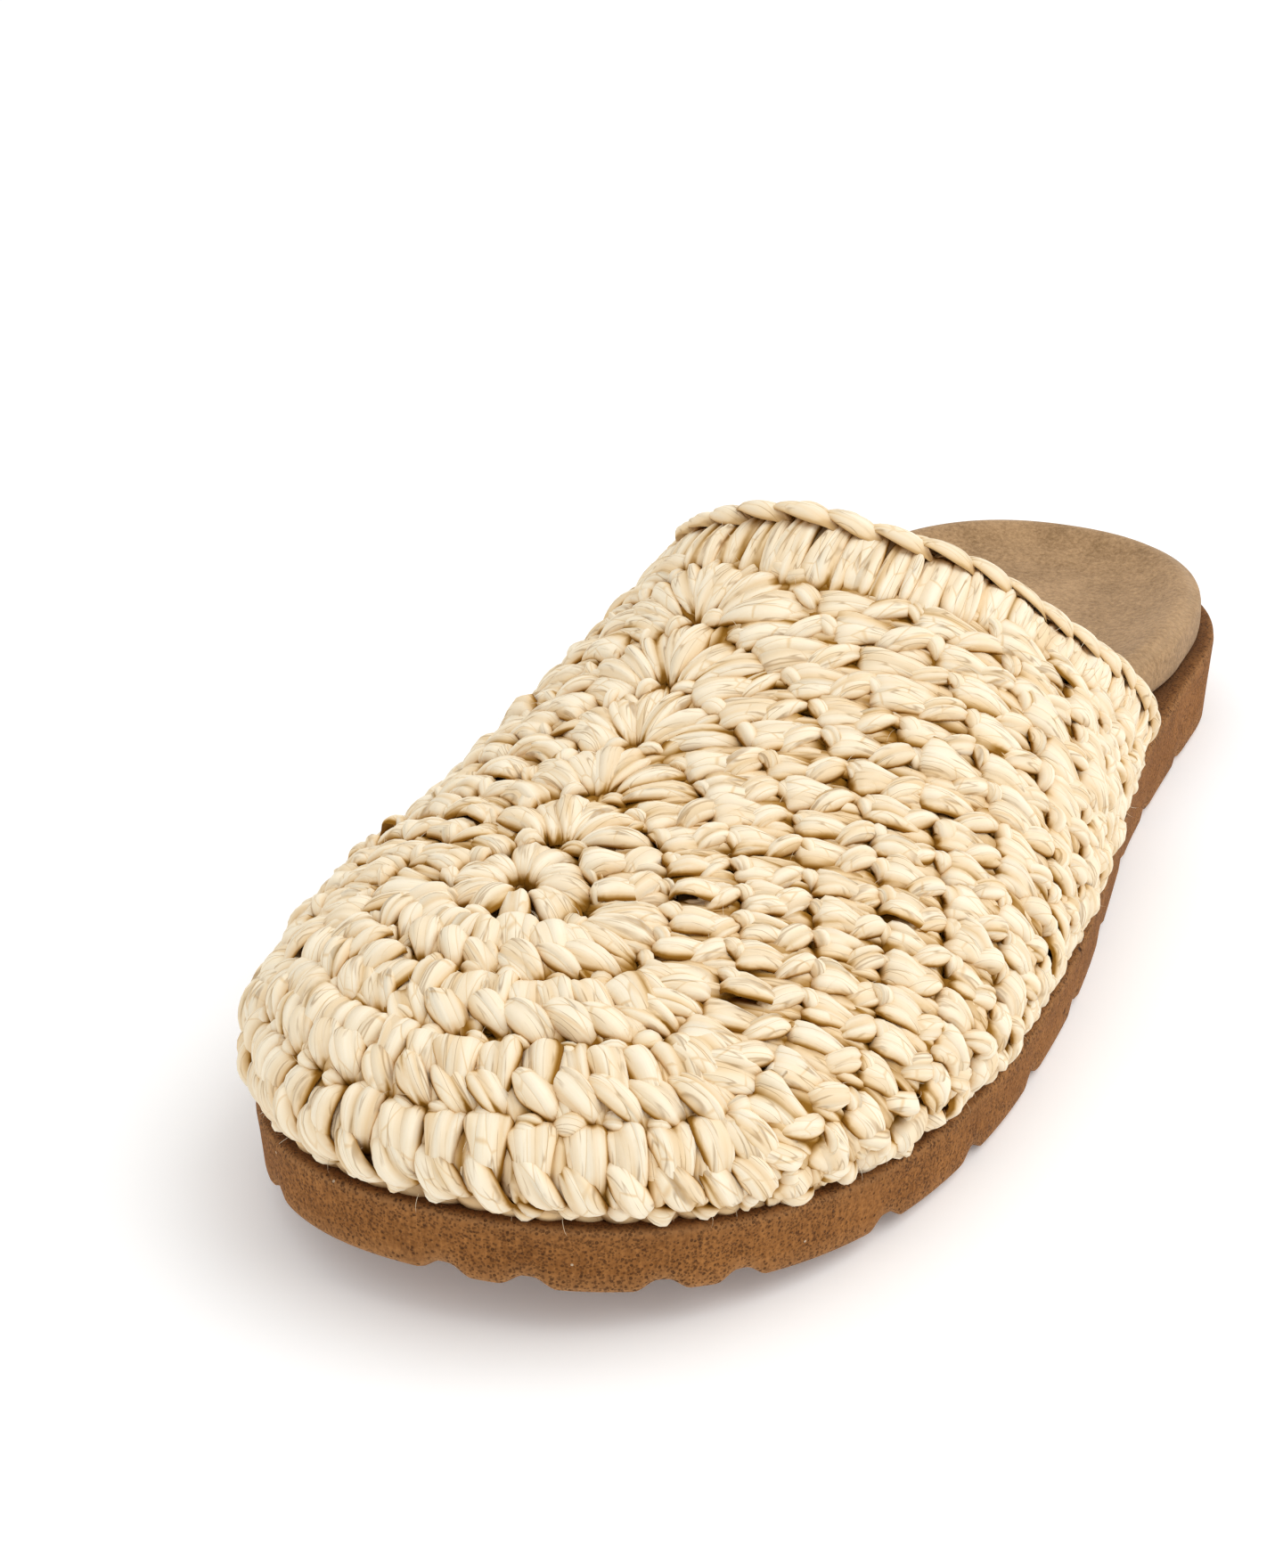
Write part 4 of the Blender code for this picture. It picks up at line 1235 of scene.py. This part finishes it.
def grown(piece, tree, values):
    """An object's mesh becomes the plain mesh that a tree makes of it."""
    modifier = piece.modifiers.new(tree.name, "NODES")
    modifier.node_group = tree
    for socket in tree.interface.items_tree:
        if socket.name in values:
            modifier[socket.identifier] = values[socket.name]
    shaped = piece.evaluated_get(bpy.context.evaluated_depsgraph_get())
    mesh = bpy.data.meshes.new_from_object(shaped)
    piece.modifiers.remove(modifier)
    piece.data = mesh
    print(piece.name, "triangles:", sum(len(face.vertices) - 2 for face in mesh.polygons))


def braid_tree():
    """A tree that sets a link along a line, turned along it and out of the shoe."""
    inputs = (("Model", "Object"), ("Spacing", "Float"), ("Seed", "Int"), ("Finish", "Material"))
    tree, given = new_tree("braid", inputs)
    line = node(tree, "GeometryNodeMeshToCurve", None, {"Mesh": given["Geometry"]})
    sockets = {"Curve": line, "Length": given["Spacing"]}
    even = node(tree, "GeometryNodeResampleCurve", {"mode": "LENGTH"}, sockets)
    ahead = node(tree, "GeometryNodeInputTangent")
    kind = {"data_type": "FLOAT_VECTOR"}
    out = node(tree, "GeometryNodeInputNamedAttribute", kind, {"Name": "way_out"})
    axes = {"primary_axis": "X", "secondary_axis": "Z"}
    sockets = {"Primary Axis": ahead, "Secondary Axis": out}
    turn = node(tree, "FunctionNodeAxesToRotation", axes, sockets)
    sizes = ((0.92, 0.8, 0.85), (1.1, 1.15, 1.15))
    sways = ((-0.2, -0.05, -0.1), (0.2, 0.05, 0.1))
    set_copies(tree, given, even, turn, sizes, sways)
    return tree


# %% The two strands of the braid
OUTER_LINK = table(
    RIBBON,
    (0.0, -0.30, 0.42, -0.9, 0.9, 0.2),
    (0.2, 0.00, 0.28, 0.7, 2.0, 0.7),
    (0.5, 0.45, 0.00, 1.4, 2.4, 1.0),
    (0.8, 0.95, -0.30, 0.8, 1.9, 0.8),
    (1.0, 1.25, -0.48, -0.9, 0.8, 0.2),
)
INNER_LINK = table(
    RIBBON,
    (0.0, -0.25, -0.30, -0.7, 0.6, 0.2),
    (0.25, 0.05, -0.18, 0.4, 1.4, 0.6),
    (0.5, 0.50, 0.00, 0.8, 1.7, 0.8),
    (0.75, 0.95, 0.18, 0.4, 1.4, 0.6),
    (1.0, 1.25, 0.30, -0.7, 0.6, 0.2),
)
LINK_SHADE = 0.5
LINK_GRID = (14, 13)
BRAID_POINTS = 400
BRAIDS = table(
    "name ribbon spacing band out lean",
    ("braid_outer", OUTER_LINK, 6.8, 0.12, 1.2, 0.3),
    ("braid_inner", INNER_LINK, 5.6, -0.01, -0.3, 1.2),
)


def straight_link(name, ribbon, length, rng):
    """One link of a braid on a straight post, kept out of the scene."""
    line = POST_PLACES[:, None] * np.array([[length, 0.0, 0.0]])
    still = np.ones((1, len(line), 1))
    posts = (line[None], still * (0.0, 0.0, 1.0), still * (0.0, 1.0, 0.0), np.zeros((1, len(line))))
    width = np.array([USUAL_WIDTH])
    grid, flat, number, cavity = lay_strands(posts, width, ribbon, *LINK_GRID, rng, loose=0.0)
    # Painted shade in the links, at half strength.
    link = joined_strands(name, [(grid - SHIFT, flat, number, LINK_SHADE * cavity)], RAFFIA)
    link.data.attributes.remove(link.data.attributes["strand_number"])
    bpy.context.scene.collection.objects.unlink(link)
    return link


def laid_row(name, ribbon, spacing, line, ways, seed, solid, finish):
    """Links set along a line over the shoe, as one piece."""
    path = bpy.data.meshes.new(name)
    path.from_pydata(((line + SHIFT) * MM).tolist(), [(i, i + 1) for i in range(len(line) - 1)], [])
    ways = unit(ways).astype(np.float32)
    path.attributes.new("way_out", "FLOAT_VECTOR", "POINT").data.foreach_set("vector", ways.ravel())
    piece = bpy.data.objects.new(name, path)
    bpy.context.scene.collection.objects.link(piece)
    link = straight_link(name + "_link", ribbon, spacing, np.random.default_rng(47 + seed))
    grown(piece, BRAID_TREE, {"Model": link, "Spacing": spacing * MM, "Seed": seed, "Finish": finish})
    bpy.data.objects.remove(link)
    dress(piece, solid)


BRAID_TREE = braid_tree()
for seed, row in enumerate(BRAIDS):
    turns = np.linspace(COLLAR_FOOT, -COLLAR_FOOT, BRAID_POINTS)
    points, out, ahead = collar_frames(turns, np.full(len(turns), row.band))
    line = points + out * row.out
    ways = out + row.lean * ahead
    laid_row(row.name, row.ribbon, row.spacing, line, ways, 5 + seed, "collar_edging", RAFFIA)

# %% [markdown]
# Where the crochet meets the sole, a last plain row is drawn in. It is the same kind of link, set
# along the foot of the upper from one end of the collar round the toe to the other.

# %% The drawn-in row at the sole
HEM_LINK = table(
    RIBBON,
    (0.0, -0.30, 0.25, -0.8, 0.9, 0.2),
    (0.25, 0.05, 0.20, 0.6, 1.3, 0.7),
    (0.5, 0.45, 0.00, 1.2, 1.5, 1.0),
    (0.75, 0.90, -0.20, 0.6, 1.3, 0.7),
    (1.0, 1.25, -0.25, -0.8, 0.9, 0.2),
)
HEM_SPACING = 4.4
HEM_RISE = 1.1
HEM_OUT = 0.9
HEM_LEAN = 0.3
HEM_STOP = 5.0
foot_line = np.concatenate([FEATHER["lateral"][::-4], FEATHER["medial"][4::4]])
foot_line = foot_line[foot_line[:, 1] < COLLAR_END - HEM_STOP]
hem = np.column_stack([foot_line, sole_top(foot_line[:, 1]) + SEAT_GAP + HEM_RISE])
ways = unit(np.cross((0.0, 0.0, 1.0), np.gradient(hem, axis=0)))
hem_ways = ways + (0.0, 0.0, HEM_LEAN)
# The drawn-in row takes the darker raffia copy, as painted shade under the last round.
laid_row("hem_row", HEM_LINK, HEM_SPACING, hem + HEM_OUT * ways, hem_ways, 8, "upper", SHADED_RAFFIA)

# %% [markdown]
# Raffia sheds. Several hundred fine fibres stand off the crochet, thickest to the eye where they cross
# its outline. Geometry Nodes scatter them over the upper's own surface, each with its own lean and
# length.

# %% Loose fibres
FIBRE_ROOT = 1.4
FIBRE_WIDTH = 0.035
FIBRE_DENSITY = 24000.0
FIBRE_DEPTHS = (0.0, 0.5)
FIBRE = table(
    "up aside thick",
    (0.0, 0.0, 1.0),
    (0.6, 0.1, 1.0),
    (1.2, 0.35, 0.8),
    (1.7, 0.75, 0.5),
    (2.0, 1.2, 0.1),
)


def fibre_tree():
    """A tree that scatters one fibre over a surface, with its own lean, turn and length each."""
    inputs = (("Model", "Object"), ("Density", "Float"), ("Seed", "Int"), ("Finish", "Material"))
    tree, given = new_tree("loose_fibres", inputs)
    spread = node(tree, "GeometryNodeDistributePointsOnFaces", None, {
        "Mesh": given["Geometry"], "Density": given["Density"], "Seed": given["Seed"]})
    upright = Wire(spread.socket.node.outputs["Rotation"])
    sizes = ((0.8, 0.8, 0.6), (1.2, 1.2, 1.2))
    leans = ((-0.5, -0.5, 0.0), (0.5, 0.5, 6.28))
    set_copies(tree, given, spread, upright, sizes, leans)
    return tree


fibre_points = []
for row in FIBRE:
    for turn in (0.0, 2.1, 4.2):
        aside = FIBRE_WIDTH * row.thick * np.array([math.cos(turn), math.sin(turn), 0.0])
        fibre_points.append(aside + (row.aside, 0.0, FIBRE_ROOT + row.up))
fibre_faces = [(2, 1, 0), (12, 13, 14), *between_loops(len(FIBRE), 3)]
fibre = plain_piece("fibre", np.array(fibre_points) - SHIFT, fibre_faces, RAFFIA)
bpy.context.scene.collection.objects.unlink(fibre)
fibre_wall = wall_from_sheet(ground_points, ground_faces, *FIBRE_DEPTHS)
fibres = plain_piece("loose_fibres", *fibre_wall, RAFFIA)
grown(fibres, fibre_tree(), {"Model": fibre, "Density": FIBRE_DENSITY, "Seed": 3, "Finish": RAFFIA})
bpy.data.objects.remove(fibre)
dress(fibres, "upper")

# %% [markdown]
# ## The sole
# The sole is cut from foam sheet: an upright ground wall, a row of low lugs along the lower edge and
# small open pores everywhere. It is built as a stack of loops round one outline. Each loop is a row
# of a table: how far in it lies, how far up the wall, and how much of the lugs' lift it takes.

# %% Sole sizes
SOLE_POINTS = 520
LUG_STEP = 1.6
LUG_REACH = 3.8
LUG_SLOPE = 3.2
ARCH_START = 124.0
ARCH_END = 176.0
ARCH_RISE = 1.8
HEEL_BEVEL = 14.0
HEEL_BEVEL_RISE = 2.0

RECESSES = {
    "lateral": (4.2, 15.0, 32.0, 43.0, *range(69, 277, 23)),
    "medial": (27.0, 46.0, 66.0, 88.0, 110.0, 133.0, 156.0, 179.0, 203.0, 226.0, 249.0, 272.0),
}
# The fifth column browns the upper face: partly glue and dirt, partly painted shade under the upper.
# The last column is a painted highlight along the sole's lower and upper edges.
SOLE_RINGS = table(
    "inset up height lug dark worn",
    (14.0, 0.0, 0.0, 0.0, 0.0, 0.0),
    (9.0, 0.0, 0.0, 0.0, 0.0, 0.0),
    (5.0, 0.0, 0.0, 0.6, 0.0, 0.0),
    (2.3, 0.0, 0.05, 1.0, 0.0, 0.3),
    (1.3, 0.0, 0.45, 1.0, 0.0, 1.0),
    (0.75, 0.0, 1.3, 1.0, 0.0, 0.4),
    (0.55, 0.3, 0.6, 0.9, 0.0, 0.0),
    (0.25, 0.65, 0.2, 0.5, 0.0, 0.0),
    (0.0, 1.0, -1.3, 0.0, 0.1, 0.1),
    (0.1, 1.0, -0.6, 0.0, 0.2, 0.5),
    (0.5, 1.0, -0.15, 0.0, 0.4, 0.3),
    (1.3, 1.0, 0.0, 0.0, 0.7, 0.0),
    (3.0, 1.0, 0.0, 0.0, 1.0, 0.0),
    (14.0, 1.0, 0.0, 0.0, 1.0, 0.0),
)


# %% Loops of the sole
def underside(y):
    """Height of the sole's underside: toe spring, flat forefoot, arch, flat heel and heel bevel."""
    along_arch = np.clip((y - ARCH_START) / (ARCH_END - ARCH_START), 0.0, 1.0)
    bevel = np.clip((y - LENGTH + HEEL_BEVEL) / HEEL_BEVEL, 0.0, 1.0)
    return toe_spring(y) + ARCH_RISE * np.sin(math.pi * along_arch) ** 2 + HEEL_BEVEL_RISE * bevel ** 2


def lug_lift(side, shares):
    """How far the lower edge of one side lifts: a soft recess between long low arcs."""
    station = shares * walked(inset_side(side, 0.0))[-1]
    lift = np.zeros(len(shares))
    for recess in RECESSES[side]:
        near = (LUG_REACH - np.abs(station - recess)) / LUG_SLOPE
        lift = np.maximum(lift, soft_step(near))
    return LUG_STEP * lift


def along_line(points, shares):
    """Points at given shares of a line's length."""
    length = walked(points)
    return np.stack([np.interp(shares * length[-1], length, points[:, k]) for k in (0, 1)], axis=1)


def both_sides(inset, shares):
    """Closed loop round the sole: the outer side from toe to heel, then the inner side back."""
    outer = along_line(inset_side("lateral", inset), shares)
    inner = along_line(inset_side("medial", inset), shares)
    return np.concatenate([outer, inner[-2:0:-1]])


def skin(loops):
    """Closed solid through a stack of equal loops, with ladder caps across the first and the last."""
    size = len(loops[0])
    half = size // 2
    faces = between_loops(len(loops), size)
    for start, step in ((0, -1), ((len(loops) - 1) * size, 1)):
        cap = [(0, 1, size - 1)]
        cap += [(i, i + 1, size - i - 1, size - i) for i in range(1, half - 1)]
        cap.append((half - 1, half, half + 1))
        faces += [tuple(start + k for k in face)[::step] for face in cap]
    return np.concatenate(loops), faces


shares = np.linspace(0.0, 1.0, SOLE_POINTS + 1)
lift = np.concatenate([lug_lift("lateral", shares), lug_lift("medial", shares)[-2:0:-1]])
loops = []
for row in SOLE_RINGS:
    loop = both_sides(row.inset, shares)
    low_edge = underside(loop[:, 1]) + lift * row.lug
    height = low_edge + (sole_top(loop[:, 1]) - low_edge) * row.up + row.height
    loops.append(np.column_stack([loop, height]))
sole_points, sole_faces = skin(loops)
print("points round the sole:", len(lift))


# %% Foam finish
def spots(tree, place, scale, chance, radius):
    """Scattered round spots: 1 inside a spot, for a chosen share of the cells."""
    colour = cells(tree, place, scale, out="Color")
    pick = node(tree, "ShaderNodeSeparateColor", None, {0: colour}, out="Red")
    gap = cells(tree, place, scale)
    inside = ramp(tree, gap, radius * 0.55, radius, 1.0, 0.0, "SMOOTHSTEP")
    return inside * (pick > 1 - chance)


def foam(name):
    """Finish of ground brown foam: pores, pale specks, upright grind marks, a painted highlight along
    the edges and a much deeper brown upper face, partly glue and dirt and partly painted shade under
    the upper.
    """
    material, tree, shader = new_finish(name)
    place = object_place(tree)
    crowd = noise(tree, place, 0.09, 2.0)
    fine = spots(tree, place, 2.6, 0.75, 0.5) * ramp(tree, crowd, 0.32, 0.52, 0.4)
    small = spots(tree, place, 1.5, 0.4, 0.36)
    large = spots(tree, place, 0.22, 0.14, 0.12)
    speck = spots(tree, place, 0.42, 0.08, 0.11)
    grind = noise(tree, stretched(tree, place, (2.2, 2.2, 0.25)), 1.0, 4.0)
    tone = noise(tree, place, 0.12, 4.0)
    grain = noise(tree, place, 1.7, 4.0)
    dark = carried(tree, "dark")
    worn = carried(tree, "worn")
    mottle = ramp(tree, tone * 0.25 + grind * 0.3 + grain * 0.45, 0.36, 0.64)
    colour = tint(tree, mottle, (0.172, 0.063, 0.014), (0.385, 0.163, 0.046))
    # Painted highlight along the sole's edges.
    colour = tint(tree, worn * 0.45, colour, (0.56, 0.31, 0.14))
    colour = tint(tree, (fine * 0.55).math("MAXIMUM", small * 0.7), colour, (0.07, 0.024, 0.008))
    colour = tint(tree, large * 0.9, colour, (0.05, 0.018, 0.007))
    colour = tint(tree, speck * 0.8, colour, (0.78, 0.62, 0.44))
    # Deeper brown upper face: partly glue and dirt, partly painted shade under the upper.
    colour = tint(tree, dark * 0.75, colour, (0.10, 0.042, 0.016))
    pits = fine * 0.5 + small * 0.8 + large * 1.6 - grind * 0.4 - grain * 0.4 - speck * 0.4
    set_finish(tree, shader, colour, 0.72 + grind * 0.2, 1.0 - pits, 0.00025)
    shader.inputs["Specular IOR Level"].default_value = 0.12
    return material


sole = plain_piece("foam_sole", sole_points, sole_faces, foam("brown_foam"))
# Painted shade and painted highlight, carried by each loop of the sole.
carry(sole.data, "dark", np.repeat([row.dark for row in SOLE_RINGS], len(lift)))
carry(sole.data, "worn", np.repeat([row.worn for row in SOLE_RINGS], len(lift)))
dress(sole, "sole")

# %% [markdown]
# ## The footbed
# The footbed is a moulded core with suede drawn over its rim. The same stack of loops makes it, with
# a smooth curve through a table of rings: from the flat below, round the rolled rim and down into the
# dished middle.

# %% Footbed sizes
BED_POINTS = 220
BED_LEVELS = 34
BED_CLEARANCE = 0.4
BED_REVEAL = 2.6
BED_FLARE_START = 3.0
BED_FLARE = 24.0
FOOTBED = table(
    "from_toe centre medial_rim lateral_rim",
    (0.0, 3.4, 3.8, 3.8),
    (60.0, 3.4, 4.2, 4.2),
    (95.0, 4.4, 5.2, 4.8),
    (125.0, 5.2, 8.6, 6.0),
    (150.0, 4.8, 9.6, 6.2),
    (178.0, 3.8, 8.6, 6.4),
    (205.0, 3.2, 7.4, 7.0),
    (230.0, 3.2, 7.0, 7.0),
    (252.0, 3.6, 7.0, 7.0),
)
BED_RINGS = table(
    "step inset follows_rim rim_share lift",
    (0.0, 1.6, 0.0, 0.0, 0.0),
    (1.0, 0.3, 0.0, 0.0, 0.4),
    (2.0, 0.0, 1.0, 1.0, -2.4),
    (3.0, 1.6, 1.0, 1.0, -0.5),
    (4.0, 4.0, 1.0, 1.0, 0.0),
    (5.0, 9.0, 1.0, 0.45, 0.0),
    (6.0, 15.0, 1.0, 0.06, 0.0),
)


# %% Loops of the footbed
def bed_loop(extra):
    """Loop round the footbed: within the upper in front, near the sole's edge behind it."""
    shares = np.linspace(0.0, 1.0, BED_POINTS + 1)
    inside_upper = FEATHER_INSET + WALL + BED_CLEARANCE
    near = both_sides(BED_REVEAL + extra, shares)
    far = both_sides(inside_upper + extra, shares)
    blend = 1 - soft_step((near[:, 1] - COLLAR_END - BED_FLARE_START) / BED_FLARE)
    return near + (far - near) * blend[:, None]


def bed_rise(loop, rim_share):
    """Height of the footbed over the sole along a loop, between its dished middle and its rim."""
    y = loop[:, 1]
    middle = (sole_side(y, "lateral") + sole_side(y, "medial")) / 2
    half = (sole_side(y, "lateral") - sole_side(y, "medial")) / 2
    lean = np.clip((loop[:, 0] - middle) / np.maximum(half, 1.0), -1.0, 1.0)
    inner = flow(y, FOOTBED, "medial_rim")
    rim = inner + (flow(y, FOOTBED, "lateral_rim") - inner) * (1 + lean) / 2
    centre = flow(y, FOOTBED, "centre")
    return centre + (rim - centre) * rim_share


def suede(name):
    """Finish of taupe suede: slow patches where the nap lies over, fine nap and a paler rim."""
    material, tree, shader = new_finish(name)
    place = object_place(tree)
    patches = noise(tree, place, 0.1, 4.0)
    nap = noise(tree, place, 1.3, 5.0, 0.7)
    lying = ramp(tree, patches * 0.35 + nap * 0.65, 0.38, 0.62)
    rim = carried(tree, "rim")
    colour = tint(tree, lying, (0.255, 0.148, 0.064), (0.50, 0.310, 0.156))
    colour = tint(tree, rim * 0.3, colour, (0.52, 0.35, 0.20))
    set_finish(tree, shader, colour, 0.8 + nap * 0.2, nap + patches * 0.5, 0.0002)
    shader.inputs["Specular IOR Level"].default_value = 0.1
    shader.inputs["Sheen Weight"].default_value = 0.15
    return material


loops = []
rims = []
for at in np.linspace(0.0, 6.0, BED_LEVELS):
    loop = bed_loop(flow(at, BED_RINGS, "inset"))
    rise = flow(at, BED_RINGS, "follows_rim") * bed_rise(loop, flow(at, BED_RINGS, "rim_share"))
    height = sole_top(loop[:, 1]) + SEAT_GAP + rise + flow(at, BED_RINGS, "lift")
    loops.append(np.column_stack([loop, height]))
    rims.append(max(0.0, 1 - abs(at - 3.0)))
footbed = plain_piece("suede_footbed", *skin(loops), suede("taupe_suede"))
carry(footbed.data, "rim", np.repeat(rims, len(loops[0])))
dress(footbed, "insole")

# %% [markdown]
# ## Floor, light and camera
# The photo was taken on white paper under a wide soft light. A pale floor, a white sky and one large
# lamp on the right give the same open shadows. The camera keeps the photo's angle and distance, with
# a slightly wider view so that the heel is inside the picture.

# %% Floor
floor_mesh = bpy.data.meshes.new("floor")
floor_mesh.from_pydata([(-4, -4, 0), (4, -4, 0), (4, 4, 0), (-4, 4, 0)], [], [(0, 1, 2, 3)])
floor = bpy.data.objects.new("floor", floor_mesh)
bpy.context.scene.collection.objects.link(floor)
paper, _, paper_shader = new_finish("white_paper")
paper_shader.inputs["Base Color"].default_value = (0.94, 0.94, 0.94, 1.0)
paper_shader.inputs["Emission Color"].default_value = (1.0, 1.0, 1.0, 1.0)
paper_shader.inputs["Emission Strength"].default_value = 0.12
paper_shader.inputs["Roughness"].default_value = 0.9
paper_shader.inputs["Specular IOR Level"].default_value = 0.1
floor_mesh.materials.append(paper)

# %% Light
world = bpy.data.worlds.new("studio")
bpy.context.scene.world = world
world.use_nodes = True
world.node_tree.nodes["Background"].inputs["Color"].default_value = (1.0, 1.0, 1.0, 1.0)
world.node_tree.nodes["Background"].inputs["Strength"].default_value = 0.88


def soft_lamp(name, place, target, size, power):
    """A square lamp that points at a target."""
    lamp = bpy.data.lights.new(name, "AREA")
    lamp.shape = "SQUARE"
    lamp.size = size
    lamp.energy = power
    holder = bpy.data.objects.new(name, lamp)
    holder.location = place
    holder.rotation_mode = "QUATERNION"
    holder.rotation_quaternion = (Vector(target) - Vector(place)).to_track_quat("-Z", "Y")
    bpy.context.scene.collection.objects.link(holder)


soft_lamp("window", (0.6, 0.05, 0.9), (0.0, -0.05, 0.03), 1.0, 4.6)
bpy.context.scene.view_settings.view_transform = "Standard"

# %% Camera
CAMERA_SIDE = math.radians(24.6)
CAMERA_DOWN = math.radians(24.8)
CAMERA_PLACE = np.array([162.8, -306.2, 234.2])
camera = bpy.data.cameras.new("camera")
camera.sensor_fit = "VERTICAL"
camera.sensor_height = 36.0
camera.sensor_width = 36.0
camera.lens = 77.0
camera.shift_x = 0.02
camera.clip_start = 0.01
viewer = bpy.data.objects.new("camera", camera)
viewer.location = (CAMERA_PLACE + SHIFT) * MM
back = Vector((math.sin(CAMERA_SIDE) * math.cos(CAMERA_DOWN),
               -math.cos(CAMERA_SIDE) * math.cos(CAMERA_DOWN), math.sin(CAMERA_DOWN)))
viewer.rotation_mode = "QUATERNION"
viewer.rotation_quaternion = (-back).to_track_quat("-Z", "Y")
bpy.context.scene.collection.objects.link(viewer)
bpy.context.scene.camera = viewer
